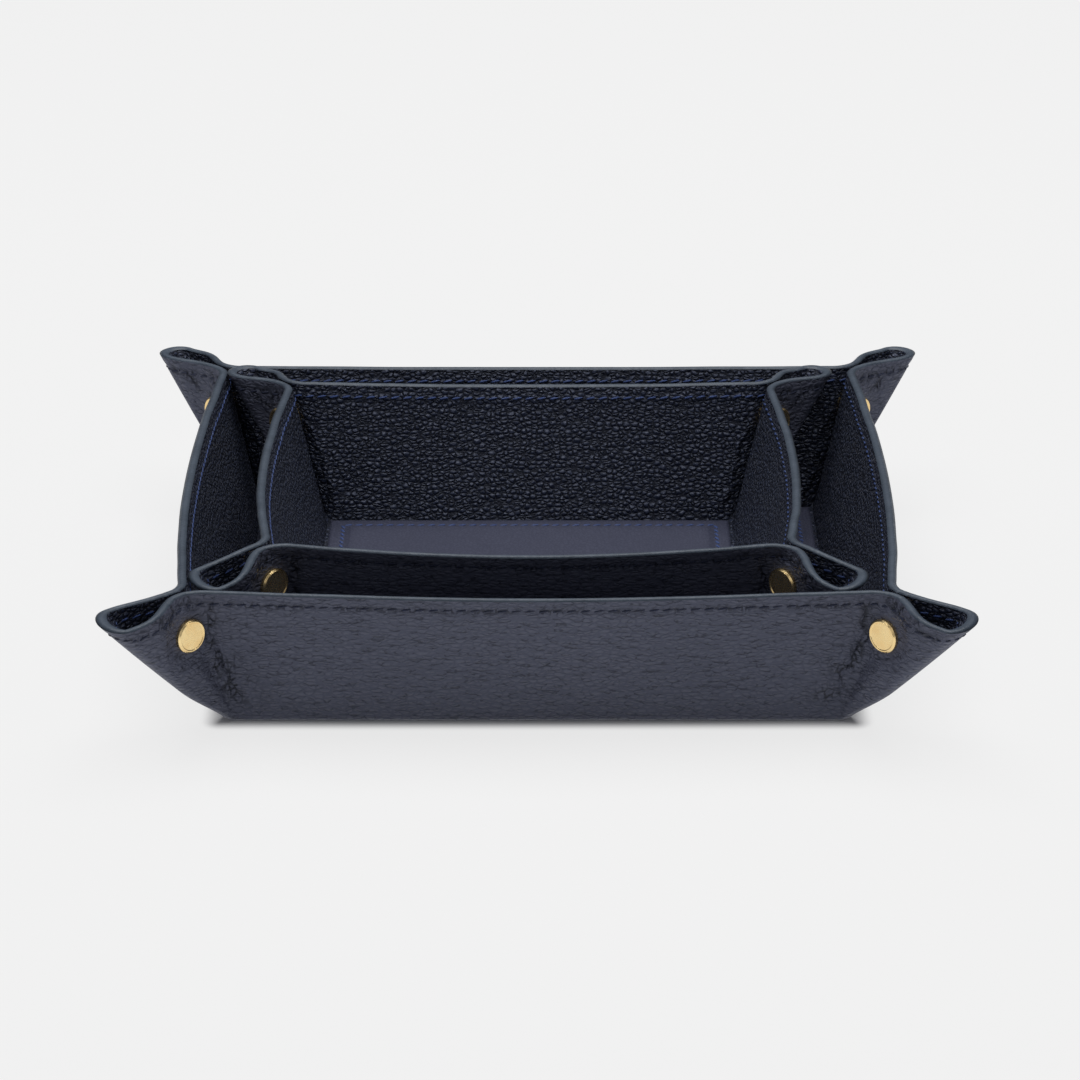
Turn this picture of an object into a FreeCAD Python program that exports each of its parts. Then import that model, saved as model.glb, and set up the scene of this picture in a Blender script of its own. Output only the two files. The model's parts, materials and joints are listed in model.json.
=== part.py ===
import FreeCAD
import Part
import Sketcher

import math
import os

# A nested pair of leather valet trays: a small tray stands loose inside a large one.
# Each tray is one leather sheet with a leather lining and a stiff board under its floor.
# The four walls fold up from the floor, and the spare leather at each corner is pinched
# into an ear that a press stud holds. Undone, the walls and ears fold out flat.
#
# Frame: millimetres, +Z up, +X to the right, the front wall faces -Y. The origin is the
# centre of the large tray's floor, on the surface that it stands on.

# Driving dimensions, in millimetres and degrees. Each becomes a cell of the sheet "Sizes".
SIZES = {
    # Floor size and sloping wall height of each tray, along the outside of the folds.
    "outer_width": 184,
    "outer_depth": 168,
    "outer_wall_height": 47.5,
    "inner_width": 134,
    "inner_depth": 117,
    "inner_wall_height": 45.5,
    # Where the small tray stands inside the large one.
    "inner_shift_x": -2.5,
    "inner_shift_y": 3,
    "stand_gap": 0.1,
    # How far the walls lean out from upright.
    "wall_lean": 14.5,
    # The layers of the sheet, with the glue line between them.
    "leather_thickness": 1.3,
    "lining_thickness": 1.15,
    "board_thickness": 1.5,
    "glue_gap": 0.05,
    # The board stops short of the floor's seam by this much on each side.
    "board_margin": 4,
    # Room at the folds: along the floor, at the pinch beside an ear, and at the ear's spine.
    "fold_gap": 0.3,
    "pinch_clearance": 0.15,
    "spine_clearance": 0.15,
    # Extra room beside the stud ear, which swings on the far side of the ear's spine.
    "swing_room": 2.2,
    # The ear: where its foot starts, what the rounded spine takes up at the rim, how far
    # its tip draws up above the rim line, and the width of the edge that turns in at the spine.
    "ear_foot": 3,
    "ear_take_up": 7.5,
    "ear_tip_rise": 2.5,
    "spine_lip": 2.6,
    # The press stud's place on the ear, up the wall and out from the pinch.
    "stud_height": 33.8,
    "stud_setback": 7,
    # The press stud's brass pieces.
    "cap_diameter": 10,
    "cap_height": 1.5,
    "cap_rim_width": 0.8,
    "cap_rim_depth": 0.2,
    "cap_bevel": 0.5,
    "barrel_diameter": 3,
    "barrel_clearance": 0.2,
    "socket_diameter": 8,
    "socket_height": 1.2,
    "stud_flange_height": 0.6,
    "knob_diameter": 3.4,
    "knob_reach": 0.9,
    "knob_clearance": 0.2,
    "knob_chamfer": 0.4,
    "snap_gap": 0.3,
}

# Shared expressions on the sheet's cells.
SHEET = "(Sizes.leather_thickness + Sizes.glue_gap + Sizes.lining_thickness)"
LINING_DEPTH = "(Sizes.leather_thickness + Sizes.glue_gap)"
SNAP_STACK = "(Sizes.socket_height + Sizes.snap_gap + Sizes.stud_flange_height + 2 * Sizes.glue_gap)"
PINCH_GAP = f"({SNAP_STACK} / 2)"
LEAN_SINE = "sin(Sizes.wall_lean)"
LEAN_COSINE = "cos(Sizes.wall_lean)"

# The walls in their order round the tray, and the floor size that each one runs along.
WALLS = {
    "front": "width",
    "right": "depth",
    "back": "width",
    "left": "depth",
}

# Each ear half: its corner, the wall that it grows from and which end of that wall.
# The cap ears grow from the front and back walls, the stud ears from the side walls.
CAP_EARS = (
    ("front_left", "front", 1),
    ("front_right", "front", -1),
    ("back_right", "back", 1),
    ("back_left", "back", -1),
)
STUD_EARS = (
    ("front_left", "left", -1),
    ("front_right", "right", 1),
    ("back_right", "right", -1),
    ("back_left", "left", 1),
)
TRAYS = ("outer", "inner")

document = FreeCAD.newDocument("valet_tray")
sheet = document.addObject("Spreadsheet::Sheet", "Sizes")
nodes = []


def fill_sheet():
    """Write every driving dimension into its own cell, under its own alias."""
    for row, (alias, value) in enumerate(SIZES.items(), start=1):
        cell = f"B{row}"
        sheet.set(f"A{row}", alias.replace("_", " "))
        sheet.set(cell, str(value))
        sheet.setAlias(cell, alias)
    document.recompute()


def number(expression):
    """Return the value of an expression on the sheet, as a plain number."""
    return float(sheet.evalExpression(expression.replace("Sizes.", "")))


def pinch_edge(along, depth):
    """Expression for the wall's edge at the pinch, measured out from the floor's corner.

    along is the height up the wall, and depth the distance in from the outside face.
    """
    return (
        f"({along}) * {LEAN_SINE} - sqrt(2) * ({PINCH_GAP} + {SHEET})"
        f" + ({depth}) * (sqrt(2) - {LEAN_COSINE})"
    )


def spine_edge(along, wall_height):
    """Expression for the ear's spine, a straight line from the floor's corner to the tip."""
    return (
        f"({along}) * ({wall_height} - Sizes.ear_take_up)"
        f" / ({wall_height} + Sizes.ear_tip_rise)"
    )


def origin_plane(body, role):
    """Return one of the body's own origin planes."""
    for feature in body.Origin.OriginFeatures:
        if feature.Role == role:
            return feature
    raise ValueError(role)


def new_sketch(body, name, role="XY_Plane"):
    """Attach an empty sketch to one of the body's origin planes."""
    sketch = body.newObject("Sketcher::SketchObject", name)
    sketch.AttachmentSupport = (origin_plane(body, role), [""])
    sketch.MapMode = "FlatFace"
    return sketch


def bind(sketch, kind, geometry, point, expression):
    """Place one coordinate of a sketch point, bound to the sheet."""
    index = sketch.addConstraint(
        Sketcher.Constraint(kind, -1, 1, geometry, point, number(expression))
    )
    sketch.setExpression(f"Constraints[{index}]", expression)


def add_polygon(sketch, corners):
    """Draw a closed outline through corners that are pairs of expressions."""
    points = [FreeCAD.Vector(number(x), number(y), 0) for x, y in corners]
    edges = []
    for start, end in zip(points, points[1:] + points[:1]):
        edges.append(sketch.addGeometry(Part.LineSegment(start, end), False))
    for edge, following in zip(edges, edges[1:] + edges[:1]):
        sketch.addConstraint(Sketcher.Constraint("Coincident", edge, 2, following, 1))
    for edge, (x, y) in zip(edges, corners):
        bind(sketch, "DistanceX", edge, 1, x)
        bind(sketch, "DistanceY", edge, 1, y)


def add_hole(sketch, x, y, diameter):
    """Draw a round hole, with its place and size bound to the sheet."""
    centre = FreeCAD.Vector(number(x), number(y), 0)
    circle = Part.Circle(centre, FreeCAD.Vector(0, 0, 1), number(diameter) / 2)
    hole = sketch.addGeometry(circle, False)
    bind(sketch, "DistanceX", hole, 3, x)
    bind(sketch, "DistanceY", hole, 3, y)
    index = sketch.addConstraint(Sketcher.Constraint("Diameter", hole, number(diameter)))
    sketch.setExpression(f"Constraints[{index}]", diameter)


def pad(body, sketch, name, length):
    """Raise a sketch into a plate whose thickness is bound to the sheet."""
    feature = body.newObject("PartDesign::Pad", name)
    feature.Profile = sketch
    feature.setExpression("Length", length)
    return feature


def new_plate(name, corners, thickness, hole=None):
    """Make a body that is one flat plate, with an optional round hole."""
    body = document.addObject("PartDesign::Body", name)
    sketch = new_sketch(body, f"{name}_outline")
    add_polygon(sketch, corners)
    if hole:
        add_hole(sketch, *hole)
    pad(body, sketch, f"{name}_plate", thickness)
    return body


def new_turned(name, profile):
    """Make a body that is a profile of radius and height turned about its own Z axis."""
    body = document.addObject("PartDesign::Body", name)
    sketch = new_sketch(body, f"{name}_profile", "XZ_Plane")
    add_polygon(sketch, profile)
    turned = body.newObject("PartDesign::Revolution", f"{name}_turned")
    turned.Profile = sketch
    turned.ReferenceAxis = (sketch, ["V_Axis"])
    turned.Angle = 360
    return body


def add_node(feature, label, placement):
    """Name a finished sub-part and put it in its place."""
    feature.Label = label
    feature.Placement = placement
    nodes.append(feature)


def tray_origin(tray):
    """Return where the middle of a tray's floor rests."""
    if tray == "outer":
        return FreeCAD.Vector(0, 0, 0)
    floor_stack = number(f"{SHEET} + Sizes.board_thickness + Sizes.glue_gap + Sizes.stand_gap")
    return FreeCAD.Vector(number("Sizes.inner_shift_x"), number("Sizes.inner_shift_y"), floor_stack)


def wall_placement(tray, wall):
    """Return a wall's frame: X along its fold, Y up its slope, Z in towards the lining."""
    across = "depth" if WALLS[wall] == "width" else "width"
    up = FreeCAD.Vector(0, 0, 1)
    quarter_turns = list(WALLS).index(wall)
    round_the_tray = FreeCAD.Rotation(up, 360 * quarter_turns / len(WALLS))
    out = round_the_tray.multVec(FreeCAD.Vector(0, -1, 0))
    lean = math.radians(number("Sizes.wall_lean"))
    slope = out * math.sin(lean) + up * math.cos(lean)
    inward = up * math.sin(lean) - out * math.cos(lean)
    turn = FreeCAD.Rotation(slope.cross(inward), slope, inward, "ZYX")
    return FreeCAD.Placement(tray_origin(tray) + out * number(f"Sizes.{tray}_{across} / 2"), turn)


def ear_placement(tray, wall, end):
    """Return an ear half's frame at the corner, turned about the pinch line at the lining."""
    to_corner = FreeCAD.Vector(end * number(f"Sizes.{tray}_{WALLS[wall]} / 2"), 0, 0)
    lean = math.radians(number("Sizes.wall_lean"))
    foot = FreeCAD.Vector(end * number(pinch_edge("0", SHEET)), 0, number(SHEET))
    pinch_line = FreeCAD.Vector(end * math.sin(lean), 1, 0)
    turn_angle = math.degrees(math.acos(math.cos(lean) / math.sqrt(2)))
    turn = FreeCAD.Placement(
        FreeCAD.Vector(0, 0, 0), FreeCAD.Rotation(pinch_line, end * turn_angle), foot
    )
    corner = FreeCAD.Placement(to_corner, FreeCAD.Rotation())
    return wall_placement(tray, wall).multiply(corner).multiply(turn)


def shifted(placement, x, y, z):
    """Return a placement moved along its own axes."""
    return placement.multiply(FreeCAD.Placement(FreeCAD.Vector(x, y, z), FreeCAD.Rotation()))


def rectangle(width, depth):
    """Return the corners of a rectangle about the origin, as expressions."""
    return (
        (f"-({width}) / 2", f"-({depth}) / 2"),
        (f"({width}) / 2", f"-({depth}) / 2"),
        (f"({width}) / 2", f"({depth}) / 2"),
        (f"-({width}) / 2", f"({depth}) / 2"),
    )


def build_floor(tray):
    """Build the floor of a tray: leather underneath, the board, and the lining on top."""
    setback = f"2 * ({SHEET} / {LEAN_COSINE} + Sizes.fold_gap)"
    width = f"Sizes.{tray}_width - {setback}"
    depth = f"Sizes.{tray}_depth - {setback}"
    board_inset = "2 * Sizes.board_margin"
    layers = (
        ("leather", width, depth, "Sizes.leather_thickness", "0"),
        (
            "board",
            f"{width} - {board_inset}",
            f"{depth} - {board_inset}",
            "Sizes.board_thickness",
            LINING_DEPTH,
        ),
        (
            "lining",
            width,
            depth,
            "Sizes.lining_thickness",
            f"{LINING_DEPTH} + Sizes.board_thickness + Sizes.glue_gap",
        ),
    )
    for layer, layer_width, layer_depth, thickness, height in layers:
        label = f"{tray}_base_{layer}"
        body = new_plate(f"{label}_body", rectangle(layer_width, layer_depth), thickness)
        place = FreeCAD.Placement(tray_origin(tray), FreeCAD.Rotation())
        add_node(body, label, shifted(place, 0, 0, number(height)))


def build_walls(tray):
    """Build the leather and the lining of each wall, cut along the fold and the pinch lines."""
    wall_height = f"Sizes.{tray}_wall_height"
    layers = (
        ("leather", "0", "Sizes.leather_thickness"),
        ("lining", LINING_DEPTH, "Sizes.lining_thickness"),
    )
    for wall, run in WALLS.items():
        for layer, depth, thickness in layers:
            foot, rim = (
                f"Sizes.{tray}_{run} / 2 + {pinch_edge(along, depth)} - Sizes.pinch_clearance"
                for along in ("Sizes.fold_gap", wall_height)
            )
            corners = (
                (f"-({foot})", "Sizes.fold_gap"),
                (foot, "Sizes.fold_gap"),
                (rim, wall_height),
                (f"-({rim})", wall_height),
            )
            label = f"{tray}_{wall}_wall_{layer}"
            body = new_plate(f"{label}_body", corners, thickness)
            add_node(body, label, shifted(wall_placement(tray, wall), 0, 0, number(depth)))


def ear_layers(tray, kind, end, extra_room):
    """Make the leather and the lining of one ear half in its flat frame.

    end is the side of the corner that it lies on, and extra_room widens the gap at the pinch.
    """
    wall_height = f"Sizes.{tray}_wall_height"
    tip_height = f"({wall_height} + Sizes.ear_tip_rise)"
    name = f"{tray}_{kind}_ear_{'plus' if end > 0 else 'minus'}"
    stud_x = f"{pinch_edge('Sizes.stud_height', SHEET)} + Sizes.stud_setback"
    hole = (
        f"{end} * ({stud_x})",
        "Sizes.stud_height",
        "Sizes.barrel_diameter + 2 * Sizes.barrel_clearance",
    )

    def outline(depth, spine_cut):
        mirrored_depth = f"2 * {SHEET} - ({depth})"
        room = f"Sizes.pinch_clearance + {extra_room}"
        stations = (
            (f"{pinch_edge('Sizes.ear_foot', mirrored_depth)} + {room}", "Sizes.ear_foot"),
            (f"{spine_edge('Sizes.ear_foot', wall_height)} - {spine_cut}", "Sizes.ear_foot"),
            (f"{spine_edge(tip_height, wall_height)} - {spine_cut}", tip_height),
            (f"{pinch_edge(wall_height, mirrored_depth)} + {room}", wall_height),
        )
        return tuple((f"{end} * ({x})", y) for x, y in stations)

    leather = new_plate(f"{name}_leather", outline("0", "0"), "Sizes.leather_thickness", hole)
    spine = [spine_edge(along, wall_height) for along in ("Sizes.ear_foot", tip_height)]
    lip = (
        (f"{end} * ({spine[0]})", "Sizes.ear_foot"),
        (f"{end} * ({spine[1]})", tip_height),
        (f"{end} * ({spine[1]} - Sizes.spine_lip)", tip_height),
        (f"{end} * ({spine[0]} - Sizes.spine_lip)", "Sizes.ear_foot"),
    )
    lip_sketch = new_sketch(leather, f"{name}_lip_outline")
    add_polygon(lip_sketch, lip)
    pad(leather, lip_sketch, f"{name}_lip", f"{SHEET} + {PINCH_GAP} - Sizes.spine_clearance")

    lining_cut = "(Sizes.spine_lip + Sizes.glue_gap)"
    lining = new_plate(
        f"{name}_lining", outline(LINING_DEPTH, lining_cut), "Sizes.lining_thickness", hole
    )
    lining.Placement = FreeCAD.Placement(
        FreeCAD.Vector(0, 0, number(LINING_DEPTH)), FreeCAD.Rotation()
    )
    return [leather, lining]


def compound(label, pieces, placement):
    """Make a node of several separate solids."""
    node = document.addObject("Part::Compound", f"{label}_group")
    node.Links = pieces
    add_node(node, label, placement)


def cap_profile():
    """Profile of the brass head on the outside of an ear, with its barrel through the sheet."""
    radius = "Sizes.cap_diameter / 2"
    barrel = "Sizes.barrel_diameter / 2"
    bevel_radius = f"{radius} - Sizes.cap_bevel"
    rim_radius = f"{radius} - Sizes.cap_rim_width"
    face_radius = f"{rim_radius} - Sizes.cap_rim_depth"
    face_height = "Sizes.cap_height - Sizes.cap_rim_depth"
    return (
        ("0", f"-{SHEET}"),
        (barrel, f"-{SHEET}"),
        (barrel, "Sizes.glue_gap"),
        (radius, "Sizes.glue_gap"),
        (radius, "Sizes.cap_height - Sizes.cap_bevel"),
        (bevel_radius, "Sizes.cap_height"),
        (rim_radius, "Sizes.cap_height"),
        (face_radius, face_height),
        ("0", face_height),
    )


def socket_profile():
    """Profile of the ring on the lining side of a cap ear, which takes the knob."""
    bore = "Sizes.knob_diameter / 2 + Sizes.knob_clearance"
    radius = "Sizes.socket_diameter / 2"
    top = f"-({SHEET} + Sizes.glue_gap)"
    face = f"{top} - Sizes.socket_height"
    return ((bore, face), (radius, face), (radius, top), (bore, top))


def stud_profile():
    """Profile of the flange and knob on the lining side of a stud ear."""
    radius = "Sizes.socket_diameter / 2"
    knob = "Sizes.knob_diameter / 2"
    top = f"-({SHEET} + Sizes.glue_gap)"
    face = f"{top} - Sizes.stud_flange_height"
    crown = f"{face} - Sizes.snap_gap - Sizes.knob_reach"
    return (
        ("0", top),
        (radius, top),
        (radius, face),
        (knob, face),
        (knob, f"{crown} + Sizes.knob_chamfer"),
        (f"{knob} - Sizes.knob_chamfer", crown),
        ("0", crown),
    )


def stud_placement(tray, wall, end):
    """Return a press stud's frame on an ear half: Z out of the ear's outside face."""
    x = number(f"{end} * ({pinch_edge('Sizes.stud_height', SHEET)} + Sizes.stud_setback)")
    seat = shifted(ear_placement(tray, wall, end), x, number("Sizes.stud_height"), 0)
    face_out = FreeCAD.Rotation(FreeCAD.Vector(1, 0, 0), 180)
    return seat.multiply(FreeCAD.Placement(FreeCAD.Vector(0, 0, 0), face_out))


def build_ears(tray, snap_pieces):
    """Build both halves of every ear of a tray, with their halves of the press studs."""
    kinds = (("cap", CAP_EARS, "0"), ("stud", STUD_EARS, "Sizes.swing_room"))
    for kind, ears, extra_room in kinds:
        layers = {end: ear_layers(tray, kind, end, extra_room) for end in (1, -1)}
        for corner, wall, end in ears:
            compound(f"{tray}_{corner}_{kind}_ear", layers[end], ear_placement(tray, wall, end))
            compound(
                f"{tray}_{corner}_snap_{kind}", snap_pieces[kind], stud_placement(tray, wall, end)
            )


def check_document():
    """Stop if any object failed to build, or any sub-part has no valid shape."""
    for item in document.Objects:
        if "Invalid" in item.State or "Error" in item.State:
            raise RuntimeError(f"{item.Label} failed: {item.State}")
    for node in nodes:
        if node.Shape.isNull() or not node.Shape.isValid():
            raise RuntimeError(f"{node.Label} has no valid shape")


def main():
    """Build both trays and write one file for each sub-part."""
    fill_sheet()
    snap_pieces = {
        "cap": [new_turned("snap_cap", cap_profile()), new_turned("snap_socket", socket_profile())],
        "stud": [new_turned("snap_post", cap_profile()), new_turned("snap_stud", stud_profile())],
    }
    for tray in TRAYS:
        build_floor(tray)
        build_walls(tray)
        build_ears(tray, snap_pieces)
    document.recompute()
    check_document()
    os.makedirs("parts", exist_ok=True)
    for node in nodes:
        node.Shape.exportStep(os.path.join("parts", f"{node.Label}.step"))
    print(f"{len(nodes)} sub-parts written")


main()
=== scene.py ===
"""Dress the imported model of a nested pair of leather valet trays.

Each tray is one leather sheet with a lining, folded up into four walls. The spare leather at
each corner is pinched into a soft ear that a brass press stud holds. Sizes are in millimetres
until a mesh is written, and the frame and Blender are in metres.
"""

import json
import logging
import math
from dataclasses import dataclass, field, replace
from enum import Enum, IntEnum
from typing import NamedTuple

import bpy
import numpy as np
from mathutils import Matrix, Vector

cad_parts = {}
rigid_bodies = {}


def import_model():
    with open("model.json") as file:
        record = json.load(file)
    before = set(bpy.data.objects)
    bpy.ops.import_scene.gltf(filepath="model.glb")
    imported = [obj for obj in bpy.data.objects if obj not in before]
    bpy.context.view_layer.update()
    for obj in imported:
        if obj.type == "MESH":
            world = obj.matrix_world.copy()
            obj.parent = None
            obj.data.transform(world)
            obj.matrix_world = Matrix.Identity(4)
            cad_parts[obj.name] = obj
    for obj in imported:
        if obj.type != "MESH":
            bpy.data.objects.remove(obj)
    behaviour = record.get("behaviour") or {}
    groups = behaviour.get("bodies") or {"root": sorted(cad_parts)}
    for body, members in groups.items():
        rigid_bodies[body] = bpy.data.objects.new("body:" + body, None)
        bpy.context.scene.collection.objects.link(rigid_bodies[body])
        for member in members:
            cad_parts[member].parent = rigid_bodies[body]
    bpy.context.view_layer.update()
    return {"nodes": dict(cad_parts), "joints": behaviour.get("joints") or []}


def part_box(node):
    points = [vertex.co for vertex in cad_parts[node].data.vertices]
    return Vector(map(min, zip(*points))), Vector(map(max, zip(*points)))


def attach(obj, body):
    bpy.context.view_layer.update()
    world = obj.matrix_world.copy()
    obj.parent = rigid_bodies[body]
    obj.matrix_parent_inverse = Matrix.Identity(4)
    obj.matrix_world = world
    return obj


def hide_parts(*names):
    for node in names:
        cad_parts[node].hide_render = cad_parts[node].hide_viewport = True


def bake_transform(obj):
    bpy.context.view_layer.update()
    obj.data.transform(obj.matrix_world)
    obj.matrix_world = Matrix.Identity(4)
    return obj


for leftover in list(bpy.data.objects):
    bpy.data.objects.remove(leftover)
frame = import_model()

LOG = logging.getLogger("valet_tray")
MM = 0.001
TINY = 1e-9
ROOT2 = math.sqrt(2)
UP = np.array([0.0, 0.0, 1.0])
OUTSIDE_SLOT = "navy_leather"
LINING_SLOT = "lining_leather"
JOINTS = {joint["name"]: joint for joint in frame["joints"]}
Colour = tuple[float, float, float, float]
Triple = tuple[float, float, float]
Socket = bpy.types.NodeSocket
Tree = bpy.types.NodeTree


class Ramp(NamedTuple):
    """An eased step: the range that a value runs through, and what it becomes at the ends."""

    low: float
    high: float
    to_low: float = 0.0
    to_high: float = 1.0


def srgb(red: int, green: int, blue: int) -> Colour:
    """Turn a colour as it is seen on a screen into the linear colour that shaders take.

    Args:
        red: Red, 0 to 255.
        green: Green, 0 to 255.
        blue: Blue, 0 to 255.

    Returns:
        Linear red, green, blue and an alpha of 1.
    """
    linear = []
    for channel in (red, green, blue):
        value = channel / 255
        linear.append(value / 12.92 if value <= 0.04045 else ((value + 0.055) / 1.055) ** 2.4)
    return (*linear, 1.0)


def smooth(value: np.ndarray) -> np.ndarray:
    """Ease from 0 to 1 with level ends, clamped outside that range."""
    clamped = np.clip(value, 0.0, 1.0)
    return clamped * clamped * (3.0 - 2.0 * clamped)


def unit(vectors: np.ndarray) -> np.ndarray:
    """Scale vectors, held in the last axis, to length 1."""
    return vectors / np.maximum(np.linalg.norm(vectors, axis=-1, keepdims=True), TINY)


class NodeCanvas:
    """Adds nodes to a tree and links them, with each input given as a socket or a plain value."""

    def __init__(self, tree: Tree) -> None:
        """Hold the tree that nodes are added to."""
        self.tree = tree

    def fill(self, socket: Socket, value: object) -> None:
        """Link an output to a socket, or set the socket's own value."""
        if isinstance(value, Socket):
            self.tree.links.new(value, socket)
        else:
            socket.default_value = value

    def add(self, kind: str, inputs: dict | None = None, **settings: object) -> bpy.types.Node:
        """Add one node.

        Args:
            kind: The node's type name.
            inputs: A value or an output socket for each input, by name or index.
            **settings: Attributes of the node itself, set before its inputs.

        Returns:
            The new node.
        """
        node = self.tree.nodes.new(kind)
        for name, value in settings.items():
            setattr(node, name, value)
        for key, value in (inputs or {}).items():
            self.fill(node.inputs[key], value)
        return node

    def out(self, kind: str, inputs: dict | None = None, **settings: object) -> Socket:
        """Add one node and return its first output."""
        return self.add(kind, inputs, **settings).outputs[0]

    def math(self, operation: str, *values: object) -> Socket:
        """Add a math node and return its result."""
        return self.out("ShaderNodeMath", dict(enumerate(values)), operation=operation)

    def vector(self, operation: str, *values: object, **named: object) -> Socket:
        """Add a vector math node and return its result."""
        inputs = {**dict(enumerate(values)), **named}
        return self.out("ShaderNodeVectorMath", inputs, operation=operation)

    def noise(self, place: Socket, scale: object, detail: float) -> bpy.types.Node:
        """Add a noise texture."""
        return self.add("ShaderNodeTexNoise", {"Vector": place, "Scale": scale, "Detail": detail})

    def cells(self, place: Socket, feature: str, randomness: float = 1.0) -> bpy.types.Node:
        """Add a texture of cells 1 wide that measures from their middles or their edges."""
        inputs = {"Vector": place, "Scale": 1.0, "Randomness": randomness}
        return self.add("ShaderNodeTexVoronoi", inputs, feature=feature)

    def ramp(self, value: object, ramp: Ramp) -> Socket:
        """Put a value through an eased step and return the result."""
        inputs = dict(enumerate((value, *ramp)))
        return self.out("ShaderNodeMapRange", inputs, interpolation_type="SMOOTHSTEP")

    def mix(self, factor: object, first: object, second: object) -> Socket:
        """Mix two colours and return the result."""
        node = self.add("ShaderNodeMix", data_type="RGBA")
        colours = [socket for socket in node.inputs if socket.type == "RGBA"]
        for socket, value in zip((node.inputs[0], *colours), (factor, first, second)):
            self.fill(socket, value)
        return next(socket for socket in node.outputs if socket.type == "RGBA")


def open_group(name: str, inputs: dict, outputs: tuple[str, ...]) -> tuple[NodeCanvas, dict]:
    """Start a shader node group.

    Args:
        name: The group's name.
        inputs: Socket type and default for each named input.
        outputs: Names of the outputs, which are plain values.

    Returns:
        A canvas on the group's tree, and its input sockets by name.
    """
    tree = bpy.data.node_groups.new(name, "ShaderNodeTree")
    for label, (kind, default) in inputs.items():
        socket = tree.interface.new_socket(label, in_out="INPUT", socket_type=kind)
        if default is not None:
            socket.default_value = default
    for label in outputs:
        tree.interface.new_socket(label, in_out="OUTPUT", socket_type="NodeSocketFloat")
    source = tree.nodes.new("NodeGroupInput")
    return NodeCanvas(tree), {label: source.outputs[label] for label in inputs}


CELL_INPUTS = {
    "Vector": ("NodeSocketVector", None),
    "Cell Size": ("NodeSocketFloat", 0.002),
    "Stretch": ("NodeSocketVector", (1.0, 1.0, 1.0)),
    "Wander": ("NodeSocketFloat", 0.7),
}
LINE_INPUTS = {**CELL_INPUTS, "Thickness": ("NodeSocketFloat", 0.2)}
MOTTLE_INPUTS = {
    "Vector": ("NodeSocketVector", None),
    "Patch Size": ("NodeSocketFloat", 0.03),
}
MIDDLES = "F1"
EDGES = "DISTANCE_TO_EDGE"
WANDER_SCALE = 0.9
SLOW_DETAIL = 2.0
FINE_DETAIL = 3.0
NOISE_RANGE = (0.3, 0.7)


def scatter(canvas: NodeCanvas, source: dict) -> tuple[Socket, Socket]:
    """Scale a group's coordinates to its cells and let the cells wander from a plain lattice.

    Args:
        canvas: A canvas on the group's tree.
        source: The group's inputs Vector, Cell Size, Stretch and Wander.

    Returns:
        The scaled coordinates, without and with the wander.
    """
    per_cell = canvas.math("DIVIDE", 1.0, source["Cell Size"])
    scaled = canvas.vector("SCALE", source["Vector"], Scale=per_cell)
    stretched = canvas.vector("MULTIPLY", scaled, source["Stretch"])
    wander = canvas.noise(stretched, WANDER_SCALE, SLOW_DETAIL).outputs["Color"]
    centred = canvas.vector("SUBTRACT", wander, (0.5, 0.5, 0.5))
    offset = canvas.vector("SCALE", centred, Scale=source["Wander"])
    return stretched, canvas.vector("ADD", stretched, offset)


@dataclass(frozen=True)
class PebblePattern:
    """The leather's pebbles: low cushions that crowd together, with thin valleys.

    dome runs out from a cell's middle, shoulder and valley in from its edge, in cell widths. The
    valley step is the mask of the painted shade in the thin valleys.
    """

    name: str = "pebble_grain"
    randomness: float = 0.85
    dome: Ramp = Ramp(0.15, 0.8, 1.0, 0.25)
    shoulder: Ramp = Ramp(0.0, 0.2)
    valley_shade: Ramp = Ramp(0.02, 0.18, 1.0, 0.0)
    fine_scale: float = 3.4
    fine_share: float = 0.18

    def build(self) -> Tree:
        """Make the shader group.

        Returns:
            A group with the outputs Height and Valley, both from 0 to 1. Valley says where the
            valleys get painted shade.
        """
        canvas, source = open_group(self.name, CELL_INPUTS, ("Height", "Valley"))
        stretched, place = scatter(canvas, source)
        middle, edge = (
            canvas.cells(place, feature, self.randomness).outputs["Distance"]
            for feature in (MIDDLES, EDGES)
        )
        dome, shoulder = canvas.ramp(middle, self.dome), canvas.ramp(edge, self.shoulder)
        cushion = canvas.math("MULTIPLY", dome, shoulder)
        broad = canvas.math("MULTIPLY", cushion, 1.0 - self.fine_share)
        fine = canvas.noise(stretched, self.fine_scale, FINE_DETAIL).outputs["Fac"]
        height = canvas.math("MULTIPLY_ADD", fine, self.fine_share, broad)
        valley_shade = canvas.ramp(edge, self.valley_shade)
        canvas.add("NodeGroupOutput", {"Height": height, "Valley": valley_shade})
        return canvas.tree


@dataclass(frozen=True)
class LinePattern:
    """Fine broken lines along the edges of cells, as bent leather shows.

    line runs in from a cell's edge, in the lines' thickness. Where under is given, only the
    edges below a cell's middle show, which leaves short level lines: the lower sides of the
    pebbles, in shade under light from above. The finishes darken every line with painted shade.
    """

    name: str
    line: Ramp
    breaks: Ramp
    break_scale: float
    under: Ramp | None = None

    def build(self) -> Tree:
        """Make the shader group.

        Returns:
            A group with the output Line, 1 on the lines and 0 between them.
        """
        canvas, source = open_group(self.name, LINE_INPUTS, ("Line",))
        stretched, place = scatter(canvas, source)
        edge = canvas.cells(place, EDGES).outputs["Distance"]
        line = canvas.ramp(canvas.math("DIVIDE", edge, source["Thickness"]), self.line)
        if self.under is not None:
            middle = canvas.cells(place, MIDDLES).outputs["Position"]
            to_middle = canvas.vector("SUBTRACT", middle, place)
            drop = canvas.add("ShaderNodeSeparateXYZ", {"Vector": to_middle}).outputs["Z"]
            line = canvas.math("MULTIPLY", line, canvas.ramp(drop, self.under))
        noise = canvas.noise(stretched, self.break_scale, SLOW_DETAIL).outputs["Fac"]
        broken = canvas.math("MULTIPLY", line, canvas.ramp(noise, self.breaks))
        canvas.add("NodeGroupOutput", {"Line": broken})
        return canvas.tree


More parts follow.
